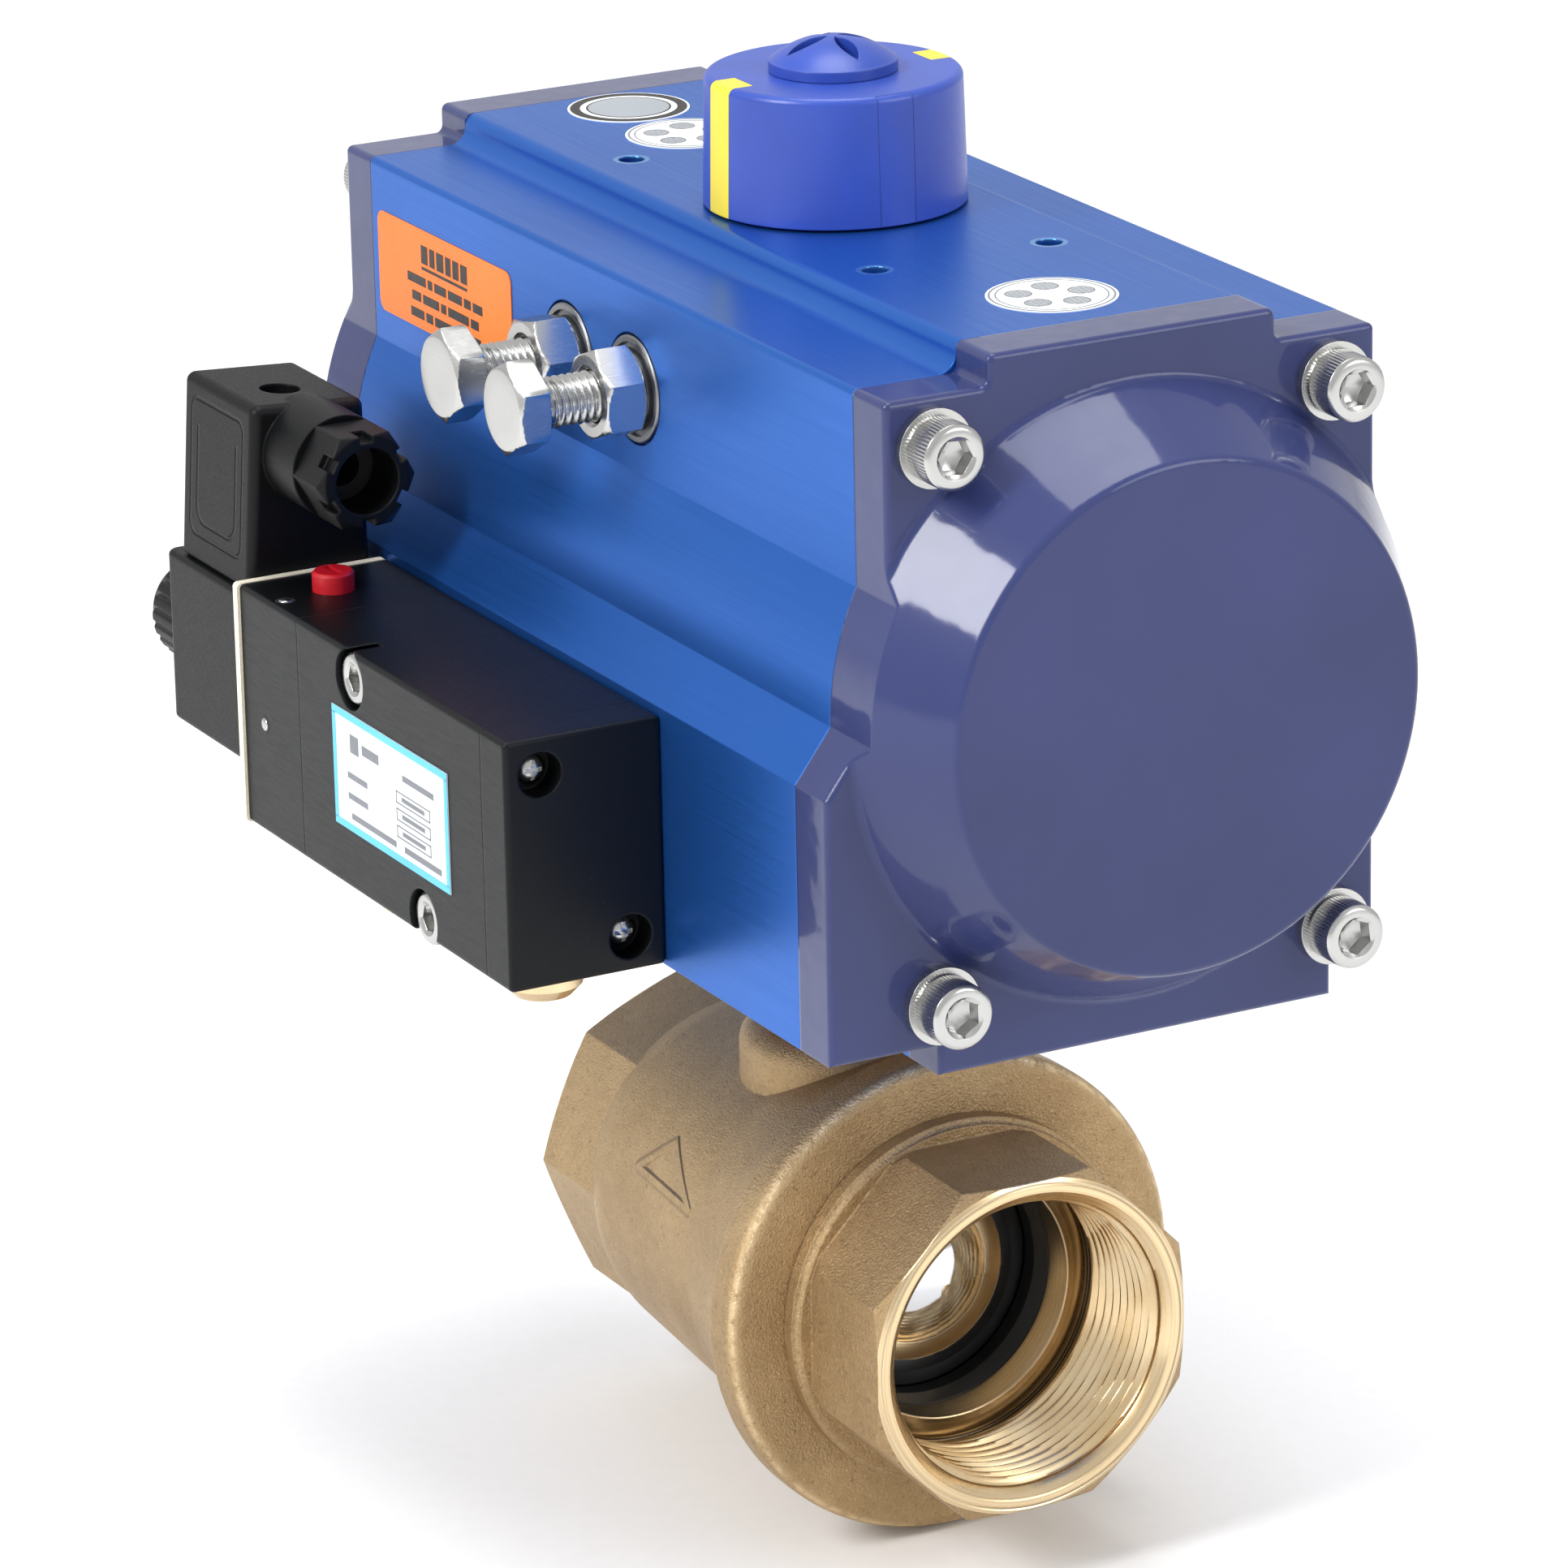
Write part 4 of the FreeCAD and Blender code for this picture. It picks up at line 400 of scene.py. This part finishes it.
MATERIALS = {
    "anodised_blue": anodised_blue(),
    "cap_paint": cap_paint(),
    "indicator_blue": moulded("indicator_blue", rgb(44, 72, 164), 0.34, 0.10),
    "indicator_yellow": moulded("indicator_yellow", rgb(232, 210, 58), 0.36, 0.10),
    "stainless": stainless(),
    "steel_dark": stainless("steel_dark", (140, 142, 146), 0.34),
    "piston_alloy": stainless("piston_alloy", (176, 178, 181), 0.42),
    "bearing_plastic": moulded("bearing_plastic", rgb(214, 208, 192), 0.5),
    "rubber_black": rubber(),
    "spring_steel": stainless("spring_steel", (84, 92, 104), 0.40),
    "block_black": black_anodised(),
    "coil_black": moulded("coil_black", rgb(9, 10, 12), 0.44, 0.25, spread=0.06, soft=0.6, level=0.22),
    "gasket_cream": rubber("gasket_cream", (226, 218, 196)),
    "button_red": moulded("button_red", rgb(186, 20, 34), 0.36, 0.12),
    "brass_bright": turned_brass("brass_bright"),
    "bronze_cast": cast_bronze(),
    "chrome_ball": chrome(),
    "seat_black": moulded("seat_black", rgb(16, 16, 17), 0.40, 0.15, level=0.35),
    "label_orange": vinyl("label_orange", (252, 122, 34)),
    "label_pale": vinyl("label_pale", (226, 230, 232)),
}
PLUG = plug_plastic()
INK = {
    "ink_mist": vinyl("ink_mist", (150, 156, 162)),
    "ink_black": vinyl("ink_black", (34, 26, 24)),
    "ink_grey": vinyl("ink_grey", (118, 122, 128)),
    "ink_sky": vinyl("ink_sky", (92, 190, 232)),
}
BRASS = turned_brass()
slot_of = {part["node"]: part["material_slot"] for part in frame["record"]["subparts"]}


# ---------------------------------------------------------------- pieces

def piece(name, verts, faces, material, body="housing", smooth=True, slot=None, nodes=(), sharp=32.0):
    """A mesh piece in the row frame that rides on a body."""
    mesh = bpy.data.meshes.new(name)
    mesh.from_pydata([tuple(v) for v in verts], [], faces)
    mesh.update()
    made = bpy.data.objects.new(name, mesh)
    bpy.context.scene.collection.objects.link(made)
    made.data.materials.append(material)
    if smooth:
        mesh.shade_smooth()
        mesh.set_sharp_from_angle(angle=math.radians(sharp))
    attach(made, body)
    if nodes:
        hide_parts(*nodes)
    return made


def to_axis(origin, direction, turn=0.0):
    """A matrix that lays local +Z along a direction at an origin, in metres."""
    z = Vector(direction).normalized()
    basis = z.to_track_quat("Z", "Y").to_matrix().to_4x4()
    return Matrix.Translation(Vector(origin)) @ basis @ Matrix.Rotation(turn, 4, "Z")


def rings(specs, matrix, segments=96, close_start=False, close_end=False):
    """A skin through rings. Each spec is (height, radius) in mm; either may be a function of the angle."""
    verts, faces = [], []
    for height, radius in specs:
        for k in range(segments):
            angle = 2 * math.pi * k / segments
            r = radius(angle) if callable(radius) else radius
            h = height(angle) if callable(height) else height
            verts.append(matrix @ Vector((r * math.cos(angle) * MM, r * math.sin(angle) * MM, h * MM)))
    for i in range(len(specs) - 1):
        for k in range(segments):
            n = (k + 1) % segments
            a, b = i * segments, (i + 1) * segments
            faces.append((a + k, a + n, b + n, b + k))
    if close_start:
        faces.append(tuple(reversed(range(segments))))
    if close_end:
        last = (len(specs) - 1) * segments
        faces.append(tuple(range(last, last + segments)))
    return verts, faces


def join(*parts):
    """Several (verts, faces) lists as one."""
    verts, faces = [], []
    for part_verts, part_faces in parts:
        start = len(verts)
        verts += part_verts
        faces += [tuple(index + start for index in face) for face in part_faces]
    return verts, faces


def hexagon_radius(flats):
    """Radius of a hexagon by angle, from its size across flats."""
    step = 2 * math.pi / 6

    def radius(angle):
        return flats / 2 / math.cos((angle % step) - step / 2)
    return radius


def limited(function, limit):
    """A radius by angle that a circle cuts."""
    return lambda angle: min(function(angle), limit)


def thread_rings(start, end, major, depth, pitch, per_pitch=8, fade=0.6):
    """Rings of a helical thread between two heights, cut in from its largest radius, fading at both ends."""
    count = max(2, int(abs(end - start) / pitch * per_pitch))
    specs = []
    for i in range(count + 1):
        height = start + (end - start) * i / count
        edge = min(abs(height - start), abs(end - height)) / (pitch * fade)
        strength = depth * min(1.0, edge)

        def radius(angle, h=height, s=strength):
            phase = (h / pitch - angle / (2 * math.pi)) % 1.0
            wave = abs(2 * phase - 1)
            wave = min(1.0, max(0.0, (wave - 0.06) / 0.82))
            return major - s * wave
        specs.append((height, radius))
    return specs


def hexagon_head(thick, flats, dome=0.25):
    """Rings of a hexagon head from its underside (height 0) to its chamfered top."""
    shape = hexagon_radius(flats)
    specs = [(0.0, flats / 2 * 0.96), (0.25, flats / 2 * 0.97)]
    specs += [(0.25, limited(shape, flats / 2 * 1.10)), (0.7, shape)]
    steps = 8
    for i in range(steps + 1):
        height = thick - 1.35 + 1.35 * i / steps
        limit = flats / 2 - 0.25 + (thick - height) * 1.55
        specs.append((height, limited(shape, limit)))
    top = flats / 2 - 0.25
    specs += [(thick, top), (thick + dome * 0.2, top * 0.97), (thick - 0.05, top * 0.5), (thick - 0.05, 0.4)]
    return specs


def nut_rings(thick, flats, bore):
    """Rings round a nut, from its bore below, over the outside, and back into the bore."""
    shape = hexagon_radius(flats)
    top = flats / 2 - 0.2
    specs = [(0.3, bore), (0.0, bore + 0.5), (0.0, top)]
    steps = 6
    for i in range(steps + 1):
        height = 1.2 * i / steps
        specs.append((height, limited(shape, top + height * 1.6)))
    for i in range(steps + 1):
        height = thick - 1.2 + 1.2 * i / steps
        specs.append((height, limited(shape, top + (thick - height) * 1.6)))
    specs += [(thick, bore + 0.7), (thick - 0.7, bore), (0.3, bore)]
    return specs


def steel_piece(name, parts, node):
    """A stainless piece that stands for a CAD node of fasteners."""
    piece(name, *join(*parts), MATERIALS["stainless"], slot="stainless", nodes=[node])


def stop_bolts():
    """The two M8 travel stop bolts, each with its own locknut."""
    flats, thread_radius, pitch = 13.0, 4.0, 1.25
    head_thick, nut_thick = 5.3, 6.8
    head_face, nut_foot, tip = 63.6, 42.2, 12.05
    half_apart, above = 0.011, 0.0333
    parts, nuts = [], []
    for side, head_turn, nut_turn in ((-1, 34, 10), (1, 28, 22)):
        x, z = STEM_X + side * half_apart, AXIS_Z + above
        place = to_axis((x, -head_face * MM, z), (0, -1, 0), math.radians(head_turn))
        head = place @ Matrix.Translation((0, 0, -head_thick * MM))
        parts.append(rings(hexagon_head(head_thick, flats), head, 120, close_end=True))
        end = -(head_face - head_thick - tip)
        shank = [(end, 2.2), (end, 2.9)]
        shank += thread_rings(end + 1.0, -0.2, thread_radius, 0.68, pitch)
        shank += [(0.0, 4.4), (0.2, 6.0)]
        parts.append(rings(shank, head, 48, close_start=True))
        foot = to_axis((x, -nut_foot * MM, z), (0, -1, 0), math.radians(nut_turn))
        nuts.append(rings(nut_rings(nut_thick, flats, thread_radius + 0.08), foot, 120))
    steel_piece("stop_bolts_threaded", parts, "stop_bolts")
    steel_piece("stop_nuts_chamfered", nuts, "stop_nuts")


def socket_head(head, height, key, knurls=56, groove=0.16):
    """Rings over a knurled socket head, from under the head, over it and down into the hexagon."""
    def knurled(angle):
        wave = abs(((angle * knurls / (2 * math.pi)) % 1.0) * 2 - 1)
        return head - groove * (1 - min(1.0, wave * 1.7))

    hexagon = hexagon_radius(key)
    specs = [(0.0, head * 0.6), (0.0, head - 0.35), (0.35, head - 0.1), (0.5, knurled)]
    specs += [(height * 0.55, knurled), (height - 0.95, knurled)]
    specs += [(height - 0.8, head - 0.04), (height - 0.55, head - 0.06)]
    specs += [(height - 0.15, head - 0.42), (height, head - 0.75)]
    specs += [(height, key * 0.5 + 0.75), (height - 0.12, key * 0.5 + 0.6), (height - 0.42, hexagon)]
    specs += [(height * 0.5, hexagon), (height * 0.5 - 0.1, 0.9 * key / 2), (height * 0.42, 0.2)]
    return specs


def cap_screws():
    """The eight M6 cap screws, then the two M5 screws of the solenoid valve."""
    body_half, plate, washer = 0.08115, 0.0095, 0.0015
    across, up = 0.0337, 0.0426
    for label, side in (("front", 1), ("back", -1)):
        under = STEM_X + side * (body_half + plate + washer)
        parts = []
        for y in (-across, across):
            for z in (-up, up):
                turn = math.radians(17 * (1 + y * 1000) + 31 * z * 100)
                matrix = to_axis((under, y, AXIS_Z + z), (side, 0, 0), turn)
                screw = socket_head(head=5.0, height=6.0, key=5.0)
                parts.append(rings(screw, matrix, 336, close_end=True))
                parts.append(rings([(-26, 2.4), (-25.4, 3.0), (0.1, 3.0)], matrix, 32, close_start=True))
        steel_piece(f"cap_screws_knurled_{label}", parts, f"cap_screws_{label}")
    parts = []
    for x, z in ((-0.016, -0.0143), (0.008, -0.0463)):
        matrix = to_axis((STEM_X + x, -0.0728, AXIS_Z + z), (0, -1, 0), math.radians(11))
        screw = socket_head(head=4.25, height=5.0, key=4.0, knurls=48, groove=0.12)
        parts.append(rings(screw, matrix, 288, close_end=True))
        parts.append(rings([(-27.5, 2.0), (-27, 2.5), (0.1, 2.5)], matrix, 32, close_start=True))
    steel_piece("namur_screws_knurled", parts, "namur_screws")


def port_threads():
    """The pipe thread's turns in both ports, on the CAD bores."""
    pitch, depth, major = 2.209, 1.15, 23.88
    for name, mouth, inward, end in (("front", FRONT_X, -1, 22.7), ("rear", REAR_X, 1, 19.9)):
        matrix = to_axis((mouth, 0, 0), (inward, 0, 0))
        specs = [(0.85, 24.52)] + thread_rings(1.5, end, major, depth, pitch, 10, 0.8)
        piece(f"{name}_pipe_thread", *rings(specs, matrix, 160), BRASS, slot="brass_bright")


def coil_nut():
    """The ribbed plastic nut that holds the coil on its tube."""
    radius, rib_depth, ribs = 9.0, 0.5, 22

    def ribbed(angle):
        wave = abs(((angle * ribs / (2 * math.pi)) % 1.0) * 2 - 1)
        return radius - rib_depth * max(0.0, 1 - wave * 2.2)

    specs = [(0.0, 7.6), (0.0, 8.3), (0.5, 8.6), (0.9, ribbed), (13.4, ribbed), (14.0, 8.3), (15.7, 7.9)]
    specs += [(16.7, 7.2), (17.0, 6.0), (17.0, 0.3)]
    matrix = to_axis((STEM_X - 0.0889, -0.065, AXIS_Z - 0.0275), (-1, 0, 0))
    body = rings(specs, matrix, 264, close_end=True)
    piece("coil_nut_ribbed", *body, MATERIALS["coil_black"], slot="coil_black", nodes=["coil_nut"])


def wire_coil(start, length, radius, wire, turns):
    """A round wire wound along +X from a start point, as a closed tube. All in metres."""
    around, per_turn = 12, 48
    steps = turns * per_turn
    verts, faces = [], []
    for step in range(steps + 1):
        angle = 2 * math.pi * step / per_turn
        outward = Vector((0, math.cos(angle), math.sin(angle)))
        centre = Vector(start) + Vector((wire + (length - 2 * wire) * step / steps, 0, 0)) + outward * radius
        for k in range(around):
            lean = 2 * math.pi * k / around
            verts.append(centre + wire * (math.cos(lean) * outward + math.sin(lean) * Vector((1, 0, 0))))
    for step in range(steps):
        for k in range(around):
            a, b = step * around + k, step * around + (k + 1) % around
            faces.append((a, b, b + around, a + around))
    faces.append(tuple(reversed(range(around))))
    faces.append(tuple(range(steps * around, (steps + 1) * around)))
    return verts, faces


def springs():
    """The return springs and the spool's spring, as coils of round wire wound in their CAD nodes' boxes."""
    turns = 6
    # node, joint, side of the end that stays, the joint's travel, wire radius
    rows = (("return_spring_front", "piston_front_slide", 1, 0.022, 0.0022),
            ("return_spring_back", "piston_back_slide", -1, 0.022, 0.0022),
            ("spool_spring", "spool_slide", 1, 0.004, 0.00055))
    for node, joint, side, travel, wire in rows:
        low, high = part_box(node)
        middle = (low + high) / 2
        length = high.x - low.x
        radius = (high.y - low.y) / 2 - wire
        coil = wire_coil((low.x, middle.y, middle.z), length, radius, wire, turns)
        slot = slot_of[node]
        made = piece(f"{node}_coil", *coil, MATERIALS[slot], slot=slot, nodes=[node], sharp=60.0)
        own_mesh(made)


def blanking_balls():
    """The two small balls that close drilled passages in the pilot block."""
    balls, seats = [], []
    places = (to_axis((STEM_X - 0.0489, -0.0783, AXIS_Z - 0.0307), (0, -1, 0)),
              to_axis((STEM_X - 0.0448, -0.0761 + 0.0004, AXIS_Z - 0.0095), (0, 0, 1)))
    for matrix in places:
        dome = []
        for angle in range(90, 0, -15):
            lean = math.radians(angle)
            dome.append((0.30 * math.cos(lean) + 0.02, 1.05 * math.sin(lean)))
        balls.append(rings(dome + [(0.32, 0.02)], matrix, 32))
        seats.append(rings([(0.02, 1.05), (0.05, 1.15), (0.05, 1.5), (0.01, 1.6)], matrix, 32))
    piece("blanking_balls", *join(*balls), MATERIALS["stainless"], slot="stainless")
    piece("blanking_ball_seats", *join(*seats), MATERIALS["rubber_black"], slot="rubber_black")


# ---------------------------------------------------------------- labels

def plate(corners, thickness, normal):
    """A thin flat plate from corners in order, raised along a normal."""
    lift = Vector(normal) * thickness
    count = len(corners)
    verts = [Vector(c) for c in corners] + [Vector(c) + lift for c in corners]
    faces = [tuple(range(count, 2 * count)), tuple(reversed(range(count)))]
    for k in range(count):
        n = (k + 1) % count
        faces.append((k, n, n + count, k + count))
    return verts, faces


def dashes(centre, z, widths, gap, height):
    """A row of dashes of different widths, centred: they stand for a line of print."""
    x = centre - (sum(widths) + gap * (len(widths) - 1)) / 2
    row = []
    for width in widths:
        row.append((x + width / 2, z, width, height))
        x += width + gap
    return row


def bar_on_side(face_y, x, z, width, height):
    """A printed bar on a face that looks towards -Y, by its centre and size in mm."""
    corners = []
    for dx, dz in ((-1, -1), (1, -1), (1, 1), (-1, 1)):
        corners.append((STEM_X + (x + dx * width / 2) * MM, face_y, AXIS_Z + (z + dz * height / 2) * MM))
    return plate(corners, INK_THICK, (0, -1, 0))


def print_on_side(name, face_y, marks, ink, slot):
    """Printed bars on a face that looks towards -Y, as one piece."""
    bars = [bar_on_side(face_y, *mark) for mark in marks]
    piece(name, *join(*bars), INK[ink], smooth=False, slot=slot)


def ring_on_deck(x, y, inner, outer, height, segments=64):
    """A flat printed ring on the deck, in mm from the stem's axis and over the deck."""
    matrix = Matrix.Translation((STEM_X + x * MM, y * MM, DECK_Z))
    return rings([(height, inner), (height, outer)], matrix, segments)


def deck_bar(x, y, width, length, height):
    """A flat printed bar on the deck, in mm."""
    z = DECK_Z + height * MM
    corners = []
    for dx, dy in ((-1, -1), (1, -1), (1, 1), (-1, 1)):
        corners.append(Vector((STEM_X + (x + dx * width / 2) * MM, (y + dy * length / 2) * MM, z)))
    return corners, [(0, 1, 2, 3)]


def label_prints():
    """Generic print on the labels: dashes for text, plain bars and boxes, rings and hatched discs."""
    side_wall, block_face, label_thick = -0.0413, -0.0783, 0.00016
    middle, gap, tall = -54.6, 0.8, 1.5
    face = side_wall - label_thick
    lines = dashes(middle, 38.0, (2.3, 1.8, 2.5, 1.9, 2.1, 2.3), 0.75, 3.0)
    lines += [(middle, 35.7, 16.5, 0.5)]
    lines += dashes(middle, 33.4, (6.6, 1.6, 4.2, 5.0, 2.4, 3.4), gap, tall)
    lines += dashes(middle, 30.6, (3.2, 5.8, 1.8, 7.4, 2.8), gap, tall)
    lines += dashes(middle, 27.8, (4.8, 2.4, 7.0, 3.6, 4.4), gap, tall)
    print_on_side("caution_print", face, lines, "ink_black", "label_orange")
    face = block_face - label_thick
    border = [(-2.1, -20.4, 41.0, 1.2), (-2.1, -38.6, 41.0, 1.2)]
    border += [(-22.0, -29.5, 1.2, 17.2), (17.8, -29.5, 1.2, 17.2)]
    print_on_side("info_border", face, border, "ink_sky", "label_pale")
    marks = [(-14.8, -24.6, 3.0, 3.0), (-9.0, -24.6, 6.0, 1.6), (8.0, -25.0, 11, 1.0)]
    marks += [(-14.0, -30.0, 7, 1.0), (-14.0, -33.4, 7, 1.0), (-8.5, -36.6, 16, 1.0), (9.0, -36.6, 13, 1.0)]
    for z in (-28.6, -31.4, -34.2):
        marks += [(6.0, z + 0.9, 12, 0.2), (6.0, z - 0.9, 12, 0.2)]
        marks += [(0.1, z, 0.2, 2.0), (11.9, z, 0.2, 2.0), (6.0, z, 8, 0.7)]
    print_on_side("info_print", face, marks, "ink_grey", "label_pale")
    top, inspection, seals = 0.19, -70.4, (67.0, -49.8)
    dark = [ring_on_deck(inspection, 0, 7.9, 9.5, top), ring_on_deck(inspection, 0, 6.6, 6.9, top)]
    grey = []
    for centre in seals:
        grey += [ring_on_deck(centre, 0, 9.2, 9.5, top), ring_on_deck(centre, 0, 8.3, 8.5, top)]
    disc, pitch, reach = 1.9, 0.5, 5.0
    for centre in seals:
        for angle in range(90, 450, 72):
            x = centre + reach * math.cos(math.radians(angle))
            y = reach * math.sin(math.radians(angle))
            grey.append(ring_on_deck(x, y, disc, disc + 0.2, top, 32))
            for step in range(-3, 4):
                half = math.sqrt(disc ** 2 - (step * pitch) ** 2)
                grey.append(deck_bar(x + step * pitch, y, 0.22, 2 * half, top))
    mist = ring_on_deck(inspection, 0, 0.05, 6.6, top)
    piece("deck_seal_centre", *mist, INK["ink_mist"], smooth=False, slot="label_pale")
    piece("deck_seal_rings", *join(*dark), INK["ink_black"], smooth=False, slot="label_pale")
    piece("deck_seal_hatch", *join(*grey), INK["ink_grey"], smooth=False, slot="label_pale")


# ---------------------------------------------------------------- CAD nodes

def dress_nodes():
    """Materials for the CAD nodes, which keep their own normals."""
    for name, node in NODES.items():
        node.data.materials.clear()
        node.data.materials.append(PLUG if name == "plug_housing" else MATERIALS[slot_of[name]])


# ---------------------------------------------------------------- light and camera

def floor():
    """A plain pale floor under the valve."""
    size = 30.0
    z = -0.0402
    mesh = bpy.data.meshes.new("studio_floor")
    corners = [(-size, -size, z), (size, -size, z), (size, size, z), (-size, size, z)]
    mesh.from_pydata(corners, [], [(0, 1, 2, 3)])
    made = bpy.data.objects.new("studio_floor", mesh)
    bpy.context.scene.collection.objects.link(made)
    g = Graph("floor_paper")
    grain = g.noise(300.0, 3.0)
    g.set(Base_Color=g.mix(grain, (0.86, 0.86, 0.86, 1), (0.90, 0.90, 0.90, 1)), Roughness=0.7)
    made.data.materials.append(g.material)


def area(name, where, target, size, power):
    """A soft oval light that looks at a target."""
    light = bpy.data.lights.new(name, "AREA")
    light.shape = "ELLIPSE"
    light.size, light.size_y = size
    light.energy = power
    made = bpy.data.objects.new(name, light)
    bpy.context.scene.collection.objects.link(made)
    made.location = where
    made.rotation_mode = "QUATERNION"
    made.rotation_quaternion = (Vector(target) - Vector(where)).to_track_quat("-Z", "Y")


def studio():
    """White surroundings and three soft lights."""
    world = bpy.data.worlds.new("studio")
    bpy.context.scene.world = world
    world.use_nodes = True
    back = world.node_tree.nodes["Background"]
    back.inputs["Color"].default_value = (1.0, 1.0, 1.0, 1)
    back.inputs["Strength"].default_value = 0.75
    aim = (STEM_X, 0, 0.09)
    area("key", (0.15, -1.5, 1.25), aim, (0.6, 0.9), 26)
    area("fill", (1.5, 0.9, 0.9), aim, (1.0, 1.0), 12)
    area("top", (-0.2, 0.1, 1.7), aim, (1.0, 1.0), 14)
    bpy.context.scene.view_settings.view_transform = "Standard"


def camera():
    """The camera of the main view, by where it stands and how it is turned."""
    place, lens, sensor = (1.00978, -0.57056, 0.48141), 185.07, 36.0
    azimuth, elevation, roll = math.radians(62.315), math.radians(18.541), math.radians(-1.234)
    back = Vector((math.sin(azimuth) * math.cos(elevation), -math.cos(azimuth) * math.cos(elevation),
                   math.sin(elevation)))
    right = Vector((math.cos(azimuth), math.sin(azimuth), 0))
    up = back.cross(right)
    turned_right = math.cos(roll) * right + math.sin(roll) * up
    turned_up = -math.sin(roll) * right + math.cos(roll) * up
    basis = Matrix((turned_right, turned_up, back)).transposed()
    data = bpy.data.cameras.new("photo_camera")
    data.lens, data.sensor_width = lens, sensor
    data.clip_start, data.clip_end = 0.05, 60.0
    made = bpy.data.objects.new("photo_camera", data)
    bpy.context.scene.collection.objects.link(made)
    made.matrix_world = Matrix.Translation(place) @ basis.to_4x4()
    bpy.context.scene.camera = made


dress_nodes()
stop_bolts()
cap_screws()
port_threads()
coil_nut()
springs()
blanking_balls()
label_prints()
floor()
studio()
camera()
